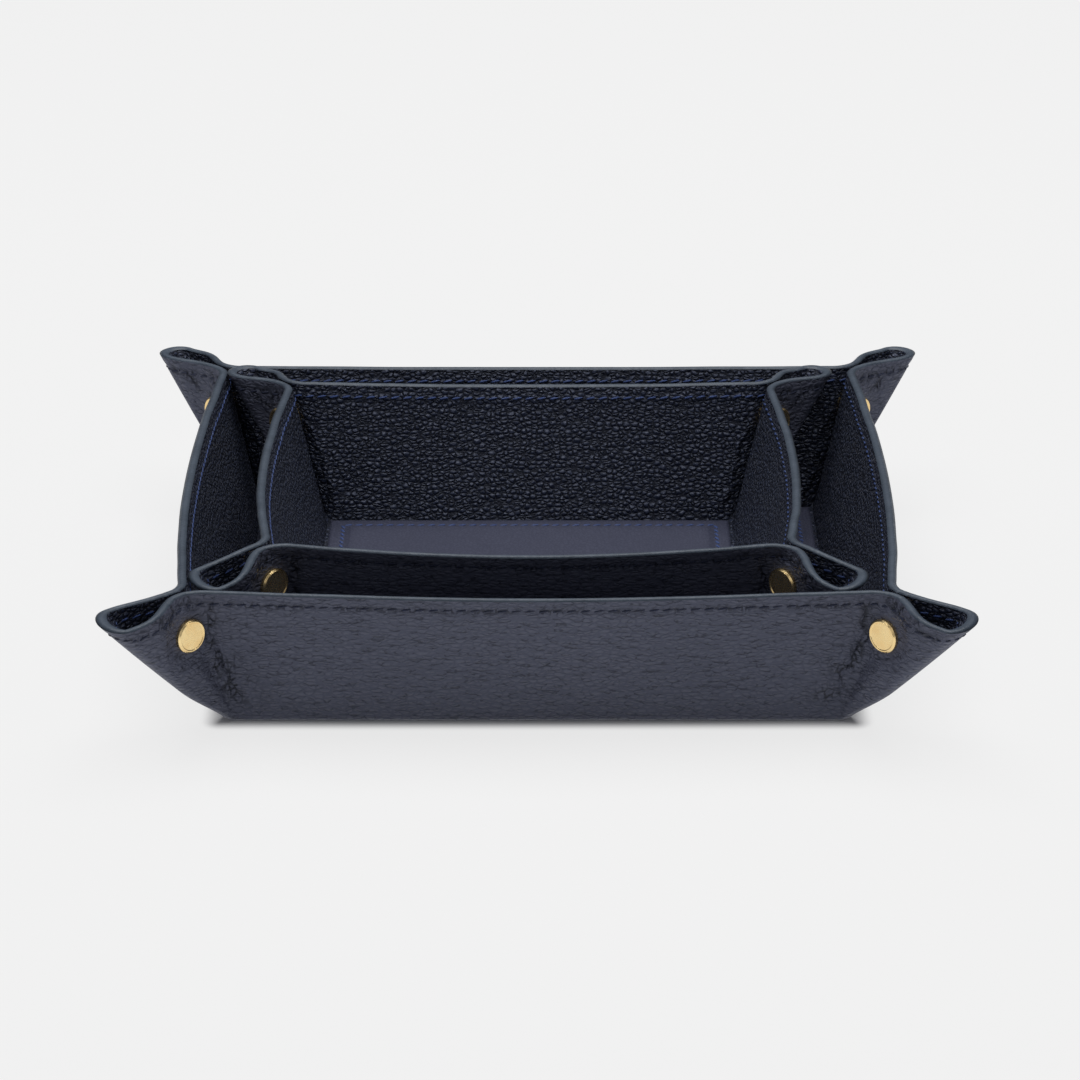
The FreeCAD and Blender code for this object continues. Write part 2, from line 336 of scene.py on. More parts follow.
PEBBLES = PebblePattern()
CRACKLE = LinePattern("crackle_lines", Ramp(0.25, 1.0, 1.0, 0.0), Ramp(0.36, 0.56), 0.45)
# Short level lines on the lower side of each cell: painted shade under light from above.
RIPPLE = LinePattern(
    "ripple_lines", Ramp(0.2, 1.0, 1.0, 0.0), Ramp(0.34, 0.56), 0.9, under=Ramp(0.08, 0.3)
)


def build_mottle_group() -> Tree:
    """Build slow changes of tone over a surface, as hands and light leave them.

    Returns:
        A group with the output Tone, from 0 to 1.
    """
    canvas, source = open_group("slow_mottle", MOTTLE_INPUTS, ("Tone",))
    per_patch = canvas.math("DIVIDE", 1.0, source["Patch Size"])
    noise = canvas.noise(source["Vector"], per_patch, FINE_DETAIL).outputs["Fac"]
    canvas.add("NodeGroupOutput", {"Tone": canvas.ramp(noise, Ramp(*NOISE_RANGE))})
    return canvas.tree


@dataclass
class Groups:
    """The shader groups that several finishes share."""

    pebble: Tree = field(default_factory=PEBBLES.build)
    crackle: Tree = field(default_factory=CRACKLE.build)
    ripple: Tree = field(default_factory=RIPPLE.build)
    mottle: Tree = field(default_factory=build_mottle_group)


@dataclass
class Workbench:
    """A new material's shader, a canvas on its nodes and its Object coordinates."""

    material: bpy.types.Material
    canvas: NodeCanvas
    shader: bpy.types.Node
    place: Socket

    @classmethod
    def start(cls, name: str) -> "Workbench":
        """Make a material with a Principled shader."""
        material = bpy.data.materials.new(name)
        material.use_nodes = True
        canvas = NodeCanvas(material.node_tree)
        place = canvas.add("ShaderNodeTexCoord").outputs["Object"]
        return cls(material, canvas, material.node_tree.nodes["Principled BSDF"], place)

    def group(self, tree: Tree, **values: object) -> bpy.types.bpy_prop_collection:
        """Place a group on the Object coordinates and return its outputs.

        Args:
            tree: The group's tree.
            **values: The group's inputs, with each name's underscores read as spaces.

        Returns:
            The outputs by name.
        """
        inputs = {label.replace("_", " "): value for label, value in values.items()}
        inputs["Vector"] = self.place
        return self.canvas.add("ShaderNodeGroup", inputs, node_tree=tree).outputs

    def mottle(self, groups: Groups, patch_size: float) -> Socket:
        """Place the mottle group and return its tone."""
        return self.group(groups.mottle, Patch_Size=patch_size)["Tone"]

    def bump(self, height: Socket, relief: float) -> None:
        """Raise the surface by a height from 0 to 1, relief metres deep."""
        node = self.canvas.add("ShaderNodeBump", {"Distance": relief, "Height": height})
        self.canvas.fill(self.shader.inputs["Normal"], node.outputs["Normal"])

    def set(self, **values: object) -> None:
        """Fill the shader's inputs, with each name's underscores read as spaces."""
        for label, value in values.items():
            self.canvas.fill(self.shader.inputs[label.replace("_", " ")], value)


@dataclass(frozen=True)
class LeatherFinish:
    """A grained leather: its colours, its pebbles and the fine creases across it.

    Sizes are in metres. Creases also gather where a piece carries the wrinkle attribute. The
    valley and line colours are painted shade, in the valleys between the pebbles and along the
    fine creases.
    """

    name: str
    colour: Colour
    faded: Colour
    # Painted shade: the colour of the valleys between the pebbles.
    valley_shade: Colour
    # Painted shade: the colour of the fine crease lines.
    line: Colour
    pebble_size: float
    pebble_stretch: Triple
    relief: float
    crease_share: float
    smooth_roughness: float
    valley_roughness: float
    crease_size: float = 0.0027
    crease_stretch: Triple = (0.8, 0.8, 1.3)
    crease_thickness: float = 0.26
    wrinkle_size: float = 0.0024
    wrinkle_stretch: Triple = (1.25, 1.25, 0.7)
    wrinkle_thickness: float = 0.2
    line_relief: float = 0.35
    patch_size: float = 0.03
    POLISHED = (0.2, 0.9)
    WRINKLE = "wrinkle"
    SHEEN = srgb(226, 233, 255)

    def build(self, groups: Groups) -> bpy.types.Material:
        """Make the material."""
        bench = Workbench.start(self.name)
        canvas = bench.canvas
        grain = bench.group(
            groups.pebble, Cell_Size=self.pebble_size, Stretch=self.pebble_stretch
        )
        lines = self._lines(bench, groups)
        tone = canvas.mix(bench.mottle(groups, self.patch_size), self.colour, self.faded)
        # Painted shade: the valleys between the pebbles are darkened in the colour.
        toned = canvas.mix(grain["Valley"], tone, self.valley_shade)
        # Painted shade: the crease lines are darkened in the colour.
        colour = canvas.mix(lines, toned, self.line)
        polish = Ramp(*self.POLISHED, self.valley_roughness, self.smooth_roughness)
        rough = canvas.ramp(grain["Height"], polish)
        bench.set(Base_Color=colour, Roughness=rough, Specular_Tint=self.SHEEN)
        height = canvas.math("MULTIPLY_ADD", lines, -self.line_relief, grain["Height"])
        bench.bump(height, self.relief)
        return bench.material

    def _lines(self, bench: Workbench, groups: Groups) -> Socket:
        """Draw the fine creases, level over the whole leather and upright in its wrinkles."""
        canvas = bench.canvas
        level = bench.group(
            groups.ripple,
            Cell_Size=self.crease_size,
            Stretch=self.crease_stretch,
            Thickness=self.crease_thickness,
        )["Line"]
        upright = bench.group(
            groups.crackle,
            Cell_Size=self.wrinkle_size,
            Stretch=self.wrinkle_stretch,
            Thickness=self.wrinkle_thickness,
        )["Line"]
        wrinkle = canvas.add("ShaderNodeAttribute", attribute_name=self.WRINKLE).outputs["Fac"]
        gathered = canvas.math("MULTIPLY", upright, wrinkle)
        spread = canvas.math("MULTIPLY", level, self.crease_share)
        return canvas.math("MAXIMUM", gathered, spread)


@dataclass(frozen=True)
class CoatFinish:
    """A coat of paint or a metal face: a slow change of tone and a fine, uneven polish.

    Sizes are in metres.
    """

    name: str
    colour: Colour
    worn: Colour
    patch_size: float
    brush_scale: float
    brush_detail: float
    roughness: tuple[float, float]
    relief: float
    metallic: float = 0.0

    def build(self, groups: Groups) -> bpy.types.Material:
        """Make the material."""
        bench = Workbench.start(self.name)
        canvas = bench.canvas
        colour = canvas.mix(bench.mottle(groups, self.patch_size), self.colour, self.worn)
        brushed = canvas.noise(bench.place, self.brush_scale, self.brush_detail).outputs["Fac"]
        rough = canvas.ramp(brushed, Ramp(*NOISE_RANGE, *self.roughness))
        bench.set(Base_Color=colour, Metallic=self.metallic, Roughness=rough)
        bench.bump(brushed, self.relief)
        return bench.material


@dataclass(frozen=True)
class FibreFinish:
    """Thread or pressed board: fine flecks of colour and a slowly changing sheen.

    Sizes are in metres.
    """

    name: str
    deep: Colour
    pale: Colour
    fleck_scale: float
    fleck_detail: float
    flecks: Ramp
    patch_size: float
    sheen: Ramp
    relief: float

    def build(self, groups: Groups) -> bpy.types.Material:
        """Make the material."""
        bench = Workbench.start(self.name)
        canvas = bench.canvas
        fibre = canvas.noise(bench.place, self.fleck_scale, self.fleck_detail).outputs["Fac"]
        colour = canvas.mix(canvas.ramp(fibre, self.flecks), self.deep, self.pale)
        rough = canvas.ramp(bench.mottle(groups, self.patch_size), self.sheen)
        bench.set(Base_Color=colour, Roughness=rough)
        bench.bump(fibre, self.relief)
        return bench.material


OUTSIDE_LEATHER = LeatherFinish(
    "navy_outside_leather",
    colour=srgb(79, 82, 98),
    faded=srgb(84, 87, 103),
    valley_shade=srgb(75, 78, 94),
    line=srgb(14, 16, 26),
    pebble_size=0.0016,
    pebble_stretch=(0.6, 0.6, 1.3),
    relief=0.0003,
    crease_share=0.6,
    smooth_roughness=0.5,
    valley_roughness=0.6,
)
LINING_LEATHER = LeatherFinish(
    "navy_lining_leather",
    colour=srgb(42, 48, 67),
    faded=srgb(47, 53, 72),
    valley_shade=srgb(15, 18, 29),
    line=srgb(8, 10, 18),
    pebble_size=0.0015,
    pebble_stretch=(0.8, 0.8, 1.15),
    relief=0.0009,
    crease_share=0.1,
    smooth_roughness=0.32,
    valley_roughness=0.6,
)
FLOOR_LEATHER = LeatherFinish(
    "navy_floor_leather",
    colour=srgb(55, 57, 75),
    faded=srgb(60, 62, 80),
    valley_shade=srgb(50, 52, 69),
    line=srgb(36, 39, 54),
    pebble_size=0.0012,
    pebble_stretch=(1.0, 1.0, 1.0),
    relief=0.00008,
    crease_share=0.12,
    smooth_roughness=0.52,
    valley_roughness=0.62,
)
EDGE_PAINT = CoatFinish(
    "edge_paint",
    colour=srgb(54, 65, 79),
    worn=srgb(67, 78, 92),
    patch_size=0.006,
    brush_scale=900.0,
    brush_detail=3.0,
    roughness=(0.42, 0.54),
    relief=0.00012,
)
BRASS = CoatFinish(
    "satin_brass",
    colour=srgb(255, 228, 170),
    worn=srgb(250, 216, 154),
    patch_size=0.004,
    brush_scale=3800.0,
    brush_detail=4.0,
    roughness=(0.2, 0.34),
    relief=0.00002,
    metallic=1.0,
)
OUTSIDE_THREAD = FibreFinish(
    "navy_thread",
    deep=srgb(12, 16, 30),
    pale=srgb(36, 46, 78),
    fleck_scale=5200.0,
    fleck_detail=2.0,
    flecks=Ramp(*NOISE_RANGE),
    patch_size=0.004,
    sheen=Ramp(0.2, 0.8, 0.5, 0.75),
    relief=0.00015,
)
LINING_THREAD = replace(
    OUTSIDE_THREAD, name="blue_thread", deep=srgb(32, 44, 82), pale=srgb(68, 92, 152)
)
BOARD = FibreFinish(
    "base_board",
    deep=srgb(128, 122, 112),
    pale=srgb(152, 146, 134),
    fleck_scale=1400.0,
    fleck_detail=4.0,
    flecks=Ramp(0.45, 0.62),
    patch_size=0.02,
    sheen=Ramp(0.0, 1.0, 0.8, 0.95),
    relief=0.0001,
)


class Palette:
    """The finished materials of the trays."""

    def __init__(self) -> None:
        """Build every finish once."""
        groups = Groups()
        self.outside = OUTSIDE_LEATHER.build(groups)
        self.lining = LINING_LEATHER.build(groups)
        self.floor = FLOOR_LEATHER.build(groups)
        self.edge = EDGE_PAINT.build(groups)
        self.outside_thread = OUTSIDE_THREAD.build(groups)
        self.lining_thread = LINING_THREAD.build(groups)
        self.brass = BRASS.build(groups)
        self.board = BOARD.build(groups)


class Wall(Enum):
    """A wall of a tray by the way that it faces, in order round the tray."""

    FRONT = "front"
    RIGHT = "right"
    BACK = "back"
    LEFT = "left"

    @property
    def out(self) -> np.ndarray:
        """Level direction that the wall faces."""
        facing = {"front": (0, -1, 0), "right": (1, 0, 0), "back": (0, 1, 0), "left": (-1, 0, 0)}
        return np.array(facing[self.value], float)

    @property
    def along(self) -> np.ndarray:
        """Level direction along the wall, with the outside on its right."""
        return np.cross(UP, self.out)

    @property
    def holds_caps(self) -> bool:
        """Whether the wall's ear halves hold the press studs' caps."""
        return self in (Wall.FRONT, Wall.BACK)

    def neighbour(self, end: int) -> "Wall":
        """The wall round the corner at one end, 1 or -1."""
        order = list(Wall)
        return order[(order.index(self) + end) % len(order)]

    def corner(self, end: int) -> str:
        """The name of the corner at one end, 1 or -1."""
        names = (self.value, self.neighbour(end).value)
        return "_".join(names if self.holds_caps else names[::-1])


@dataclass(frozen=True)
class TrayPlan:
    """Where a tray's folds, rims and studs lie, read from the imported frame.

    CAP_HEIGHT is how far a press stud's cap stands off the leather, in millimetres.
    """

    name: str
    centre: np.ndarray
    half_width: float
    half_depth: float
    rim_height: float
    wall_height: float
    ear_reach: float
    stud_reach: float
    stud_height: float
    stud_face: float
    CAP_HEIGHT = 1.5

    @classmethod
    def from_frame(cls, name: str) -> "TrayPlan":
        """Read a tray's places from its joints and nodes.

        Args:
            name: The tray's name in the frame.

        Returns:
            The tray's plan, in millimetres.
        """
        folds = {
            wall: np.array(JOINTS[f"{name}_{wall.value}_fold"]["pos_m"]) / MM for wall in Wall
        }
        right, front = folds[Wall.RIGHT][0], folds[Wall.FRONT][1]
        left, back = folds[Wall.LEFT][0], folds[Wall.BACK][1]
        centre = np.array([(left + right) / 2, (back + front) / 2, folds[Wall.FRONT][2]])
        axis = JOINTS[f"{name}_front_right_pinch"]["axis"]
        lean = math.atan2(axis[0], axis[2])
        rim_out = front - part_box(f"{name}_front_wall_leather")[0][1] / MM
        wall_height = rim_out / math.sin(lean)
        ear_reach = ROOT2 * (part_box(f"{name}_front_right_cap_ear")[1][0] / MM - right)
        mesh = frame["nodes"][f"{name}_front_right_snap_cap"].data
        points = np.array([vertex.co for vertex in mesh.vertices]) / MM
        ahead, aside = points[:, 0] - right, front - points[:, 1]
        reach, gap = (ahead + aside) / ROOT2, (aside - ahead) / ROOT2
        return cls(
            name=name,
            centre=centre,
            half_width=right - centre[0],
            half_depth=centre[1] - front,
            rim_height=wall_height * math.cos(lean),
            wall_height=wall_height,
            ear_reach=ear_reach,
            stud_reach=(reach.min() + reach.max()) / 2,
            stud_height=(points[:, 2].min() + points[:, 2].max()) / 2 - centre[2],
            stud_face=gap.max() - cls.CAP_HEIGHT,
        )

    def half_run(self, wall: Wall) -> float:
        """Half the floor's length along a wall."""
        return self.half_width if wall.holds_caps else self.half_depth

    def half_across(self, wall: Wall) -> float:
        """Distance from the tray's middle out to a wall's fold."""
        return self.half_depth if wall.holds_caps else self.half_width

    def to_world(self, wall: Wall, local: np.ndarray) -> np.ndarray:
        """Turn points along, out from and above a wall's fold into the frame's own."""
        level = local[..., :1] * wall.along + (local[..., 1:2] + self.half_across(wall)) * wall.out
        return self.centre + level + local[..., 2:] * UP


@dataclass(frozen=True)
class Crease:
    """A soft crease beside a stud, from one place to another.

    Each end is a distance along the rim from the wall's end, and a share of the wall's height.
    WAVES are the rates and sizes of its bends, and TAPER is the share where it fades at an end.
    """

    start: tuple[float, float]
    end: tuple[float, float]
    width: float
    depth: float
    WAVES = ((9.0, 1.0), (23.0, 0.6))
    WANDER = 0.4
    TAPER = 0.2


CREASES = (
    Crease((3.6, 0.80), (0.4, 0.06), 0.55, 0.5),
    Crease((1.4, 0.66), (2.6, 0.12), 0.5, 0.3),
    Crease((-2.2, 0.58), (-0.6, 0.10), 0.6, 0.22),
    Crease((5.4, 0.50), (3.6, 0.20), 0.5, 0.25),
    Crease((-1.5, 0.94), (2.8, 0.68), 0.5, 0.25),
    Crease((5.2, 0.985), (6.2, 0.86), 0.5, 0.3),
    Crease((9.4, 0.985), (8.9, 0.88), 0.5, 0.28),
    Crease((13.0, 0.97), (12.0, 0.86), 0.5, 0.22),
    Crease((21.0, 0.95), (17.0, 0.80), 0.7, 0.2),
)


@dataclass(frozen=True)
class SheetForm:
    """Soft shape of a tray's leather sheet, in millimetres.

    The sheet is ruled between the floor's rounded edge and the rim. The rim bows out between
    the corners, turns into the ear at the pinch, opens there and closes in a round loop.
    Openings, spreads, crowdings and starts are shares or multiples. Steps count the grid's
    stations and rows.
    """

    thickness: float = 2.5
    fold_reach: float = 1.6
    flange: float = 1.4
    corner_radius: float = 5.0
    corner_start: float = 6.5
    rim_offset: float = 11.0
    long_bow: float = 5.2
    side_bow: float = 4.2
    bend_radius: float = 8.0
    pinch_half_gap: float = 2.9
    ear_half_width: float = 6.2
    ear_opening: float = 0.9
    cap_ear_bulge: float = 1.7
    stud_ear_bulge: float = -0.5
    tip_trim: float = 0.7
    front_tip_drop: float = 3.4
    back_tip_drop: float = 0.1
    front_tilt: float = 1.5
    front_dip: float = 1.2
    back_dip: float = -0.6
    spine_bulge: float = 2.7
    spine_foot: float = 0.3
    spine_spread: float = 0.4
    stud_flat: float = 5.6
    stud_fade: float = 6.5
    stud_hold_start: float = 0.35
    sway: float = 0.1
    seam_drop: float = 3.8
    seam_depth: float = 0.2
    seam_width: float = 0.8
    seam_wrinkle: float = 0.9
    seam_wrinkle_spread: float = 1.5
    wrinkle_spread: float = 3.6
    foot_crowding: float = 0.12
    station_crowding: float = 0.65
    wall_steps: int = 44
    bend_steps: int = 16
    ear_steps: int = 44
    loop_steps: int = 18
    fold_steps: int = 7
    foot_rise_steps: int = 3
    root_steps: int = 6
    root_inset: float = 0.4
    rise_steps: int = 72
    BEND_FOOT = math.radians(6)
    EAR_FOOT = math.radians(18)
    EAR_TURN = math.radians(45)
    SWAY_WAVES = (1.5, 2.6)

    @property
    def wall_shares(self) -> np.ndarray:
        """Stations from a wall's middle to short of its end, closer together near the end."""
        even = np.linspace(0, 1, self.wall_steps + 1)[:-1]
        crowded = 1 - (1 - even) ** 2
        return (1 - self.station_crowding) * even + self.station_crowding * crowded

    @property
    def ear_shares(self) -> np.ndarray:
        """Stations along an ear half, from past its pinch to the start of its loop."""
        return np.linspace(0, 1, self.ear_steps + 1)[1:]

    @property
    def loop_turns(self) -> np.ndarray:
        """Stations round half the ear's loop, as turns of up to a right angle."""
        return np.linspace(0, math.pi / 2, self.loop_steps + 1)[1:]

    @property
    def half_bend(self) -> int:
        """Steps from a wall's end to the middle of its pinch."""
        return self.bend_steps // 2

    @property
    def loop_start(self) -> int:
        """Steps from a wall's middle to the start of the ear's loop."""
        return self.wall_steps + self.bend_steps + self.ear_steps

    @property
    def foot_rows(self) -> int:
        """Rows of the grid up to the top of a corner's foot, just above the floor's fold."""
        return self.fold_steps + 1 + self.foot_rise_steps

    @property
    def root_row(self) -> int:
        """The row inside a corner's foot where its ears start."""
        return self.foot_rows - self.root_steps

    def bow(self, wall: Wall) -> float:
        """How far the rim bows out between the corners."""
        return self.long_bow if wall.holds_caps else self.side_bow

    def bulge(self, wall: Wall) -> float:
        """How far an ear half swells out beyond the width of its loop."""
        return self.cap_ear_bulge if wall.holds_caps else self.stud_ear_bulge

    def dips(self, wall: Wall, end: int) -> tuple[float, float, float]:
        """How far the rim dips at one end of a wall: at the pinch, the ear's tip and its side."""
        if Wall.FRONT in (wall, wall.neighbour(end)):
            tilt = self.front_tilt if wall.holds_caps else -self.front_tilt
            return self.front_dip, self.front_tip_drop, tilt
        return self.back_dip, self.back_tip_drop, 0.0


@dataclass
class Outline:
    """Plan of half a wall and its ear half, from the wall's middle to the ear's tip.

    Plans are pairs along and out from the fold. travel runs along the rim from the wall's end.
    """

    rim: np.ndarray
    foot: np.ndarray
    foot_out: np.ndarray
    height: np.ndarray
    travel: np.ndarray


@dataclass
class SheetGrid:
    """A stretch of the sheet, as stations along it and rows up it, in millimetres.

    TUCK_FADE is the number of rows over which a tucked stretch gets its full thickness back.
    """

    outside: np.ndarray
    lining: np.ndarray
    normal: np.ndarray
    wrinkle: np.ndarray
    TUCK_FADE = 2

    @property
    def layers(self) -> tuple[np.ndarray, ...]:
        """The grid's arrays, in the order of its fields."""
        return self.outside, self.lining, self.normal, self.wrinkle

    def part(self, first: int, last: int, low: int = 0, high: int | None = None) -> "SheetGrid":
        """Cut out the stations first to last and the rows low to high, both with their ends."""
        rows = slice(low, None if high is None else high + 1)
        return SheetGrid(*(layer[first : last + 1, rows] for layer in self.layers))

    def tucked(self, rows: int, inset: float) -> "SheetGrid":
        """Thin the lowest rows, so that they lie hidden inside the piece below."""
        depth = inset * smooth((rows - np.arange(self.outside.shape[1])) / self.TUCK_FADE)
        shift = self.normal * depth[:, None]
        return replace(self, outside=self.outside - shift, lining=self.lining + shift)

    def joined(self, other: "SheetGrid") -> "SheetGrid":
        """Carry on with another stretch that starts at this one's last station."""
        pairs = zip(self.layers, other.layers)
        return SheetGrid(*(np.concatenate([first, second[1:]]) for first, second in pairs))


class SheetSector:
    """Shapes the leather of one wall from ear tip to ear tip."""

    def __init__(self, plan: TrayPlan, form: SheetForm, wall: Wall, seed: int) -> None:
        """Shape the sheet and keep its grid in the frame's coordinates."""
        self.plan = plan
        self.form = form
        self.wall = wall
        self.random = np.random.default_rng(seed)
        self.middle = form.loop_start + form.loop_steps
        self.grid = self._shape()

    def station(self, end: int, steps: int) -> int:
        """The station that lies a number of steps from the wall's middle towards one end."""
        return self.middle + end * steps

    def _outline(self, end: int) -> Outline:
        """Lay out the plan of the rim and of the floor's edge towards one end, 1 or -1."""
        form = self.form
        half_run, bow = self.plan.half_run(self.wall), form.bow(self.wall)
        corner = np.array([form.rim_offset - ROOT2 * form.pinch_half_gap, form.rim_offset])
        slant = math.atan(2 * bow / half_run)
        tangent = form.bend_radius * math.tan((form.EAR_TURN + slant) / 2)
        start = corner - tangent * np.array([math.cos(slant), -math.sin(slant)])
        wall_end = half_run + start[0]
        share = form.wall_shares
        wall_rim = np.stack([share * wall_end, start[1] + bow * (1 - share**2)], axis=-1)
        heading = np.linspace(-slant, form.EAR_TURN, form.bend_steps + 1)
        bend = start + form.bend_radius * np.stack(
            [np.sin(heading) + math.sin(slant), math.cos(slant) - np.cos(heading)], axis=-1
        )
        corner_rim = np.concatenate([bend, self._ear_rim(corner.sum() / ROOT2 + tangent)])
        steps = np.linalg.norm(np.diff(corner_rim, axis=0), axis=-1)
        foot, foot_out = self._foot()
        return Outline(
            rim=np.concatenate([wall_rim, corner_rim + [half_run, 0]]),
            foot=foot,
            foot_out=foot_out,
            height=self._heights(wall_rim[:, 1], start[1], end),
            travel=np.concatenate([wall_rim[:, 0] - wall_end, [0.0], np.cumsum(steps)]),
        )

    def _ear_rim(self, ear_start: float) -> np.ndarray:
        """Lay out an ear half's rim, which opens from the pinch and closes in a round loop.

        Args:
            ear_start: Where the ear starts, out along the line that halves the corner.

        Returns:
            The rim's plan from the corner of the folds.
        """
        form = self.form
        ear, turn = form.ear_shares, form.loop_turns
        ear_end = self.plan.ear_reach - form.tip_trim - form.ear_half_width
        reach = ear_start + (ear_end - ear_start) * ear
        opened = form.ear_half_width - form.pinch_half_gap
        gap = (
            form.pinch_half_gap
            + opened * smooth(ear / form.ear_opening)
            + form.bulge(self.wall) * np.sin(math.pi * ear) ** 2
        )
        reach = np.concatenate([reach, ear_end + form.ear_half_width * np.sin(turn)])
        gap = np.concatenate([gap, form.ear_half_width * np.cos(turn)])
        return np.stack([reach - gap, reach + gap], axis=-1) / ROOT2

    def _foot(self) -> tuple[np.ndarray, np.ndarray]:
        """Lay out the floor's edge, which runs straight and then rounds the corner.

        Returns:
            The edge's plan, and the level direction out of it at each station.
        """
        form, half_run = self.form, self.plan.half_run(self.wall)
        straight = form.corner_start - form.corner_radius
        angle = np.concatenate(
            [
                np.linspace(-straight / form.corner_radius, form.BEND_FOOT, form.bend_steps + 1),
                form.BEND_FOOT + (form.EAR_FOOT - form.BEND_FOOT) * form.ear_shares,
                form.EAR_FOOT + (form.EAR_TURN - form.EAR_FOOT) * form.loop_turns / (math.pi / 2),
            ]
        )
        round_angle = np.maximum(angle, 0)
        corner_foot = form.corner_radius * np.stack(
            [np.sin(round_angle) + np.minimum(angle, 0) - 1, np.cos(round_angle) - 1], axis=-1
        )
        corner_out = np.stack([np.sin(round_angle), np.cos(round_angle)], axis=-1)
        along = form.wall_shares * (half_run - form.corner_start)
        wall_foot = np.stack([along, np.zeros_like(along)], axis=-1)
        wall_out = np.tile([0.0, 1.0], (len(along), 1))
        foot = np.concatenate([wall_foot, corner_foot + [half_run, 0]])
        return foot, np.concatenate([wall_out, corner_out])

    def _heights(self, wall_out: np.ndarray, pinch_out: float, end: int) -> np.ndarray:
        """Find how high the rim of a sheet of one height comes, less its dips.

        Args:
            wall_out: How far out the rim stands at each station of the wall.
            pinch_out: How far out it stands at the pinch.
            end: The wall's end, 1 or -1.

        Returns:
            The rim's height at each station.
        """
        form, tall = self.form, self.plan.wall_height
        dip, tip_drop, tilt = form.dips(self.wall, end)
        tip = math.sqrt(tall**2 - form.rim_offset**2) - tip_drop
        pinch = math.sqrt(tall**2 - pinch_out**2) - dip
        wall_top = np.sqrt(tall**2 - wall_out**2) - dip * form.wall_shares**3
        pinch_top = np.full(form.bend_steps + 1, pinch)
        ear_top = pinch + (tip - tilt - pinch) * smooth(form.ear_shares)
        loop_top = tip - tilt * np.cos(form.loop_turns)
        return np.concatenate([wall_top, pinch_top, ear_top, loop_top])

    def _half(self, outline: Outline) -> tuple[np.ndarray, np.ndarray, np.ndarray]:
        """Raise the sheet over half the plan.

        Args:
            outline: The plan of the rim and of the floor's edge.

        Returns:
            The outside surface without and with its creases, and how wrinkled it is.
        """
        form = self.form
        level = np.zeros((len(outline.rim), 1))
        foot = np.hstack([outline.foot, level])
        inward = np.hstack([-outline.foot_out, level])
        rim = np.hstack([outline.rim, outline.height[:, None]])
        fold_top = foot + unit(rim - foot) * form.fold_reach
        fold_start = foot + inward * form.fold_reach
        rows = [foot + inward * (form.fold_reach + form.flange)]
        for share in np.linspace(0, 1, form.fold_steps):
            rows.append(
                (1 - share) ** 2 * fold_start + 2 * share * (1 - share) * foot + share**2 * fold_top
            )
        for share in np.linspace(0, 1, form.rise_steps + 1)[1:]:
            rows.append(fold_top + share * (rim - fold_top))
        surface = np.stack(rows, axis=1)
        rise = np.clip(surface[..., 2] / self.plan.rim_height, 0, 1)
        surface = self._fill_spine(surface, rise)
        surface = self._sway(surface, rise)
        surface = self._pull_to_stud(surface)
        return surface, *self._crease(surface, outline, rise)

    def _fill_spine(self, surface: np.ndarray, rise: np.ndarray) -> np.ndarray:
        """Round the ear's spine out a little above the floor."""
        form = self.form
        past = np.arange(len(surface)) - form.loop_start
        near = smooth(past / (form.spine_spread * form.ear_steps) + 1)
        swell = form.spine_bulge * (1 - rise**2) * smooth(rise / form.spine_foot) * near[:, None]
        return surface + swell[..., None] * np.array([1.0, 1.0, 0.0]) / ROOT2

    def _sway(self, surface: np.ndarray, rise: np.ndarray) -> np.ndarray:
        """Let the rim wander in and out a little between the wall's middle and its end."""
        steps, waves = self.form.wall_steps, self.form.SWAY_WAVES
        share = np.linspace(0, 1, steps + 1)
        phases = self.random.uniform(0, math.tau, len(waves))
        wave = sum(
            np.sin(math.tau * share * count + phase) for count, phase in zip(waves, phases)
        )
        moved = surface.copy()
        moved[: steps + 1, :, 1] += (
            self.form.sway * (wave * np.sin(math.pi * share) ** 2)[:, None] * rise[: steps + 1] ** 2
        )
        return moved

    def _pull_to_stud(self, surface: np.ndarray) -> np.ndarray:
        """Draw the ear flat against the press stud's seat."""
        form, plan = self.form, self.plan
        ahead = surface[..., 0] - plan.half_run(self.wall)
        aside = surface[..., 1]
        reach, gap = (ahead + aside) / ROOT2, (aside - ahead) / ROOT2
        distance = np.hypot(reach - plan.stud_reach, surface[..., 2] - plan.stud_height)
        hold = 1 - smooth((distance - form.stud_flat) / form.stud_fade)
        station = np.arange(len(surface)) - form.wall_steps
        along_bend = station / form.bend_steps - form.stud_hold_start
        hold *= smooth(along_bend / (1 - form.stud_hold_start))[:, None]
        pulled = (plan.stud_face - gap) * hold
        moved = surface.copy()
        moved[..., 0] -= pulled / ROOT2
        moved[..., 1] += pulled / ROOT2
        return moved

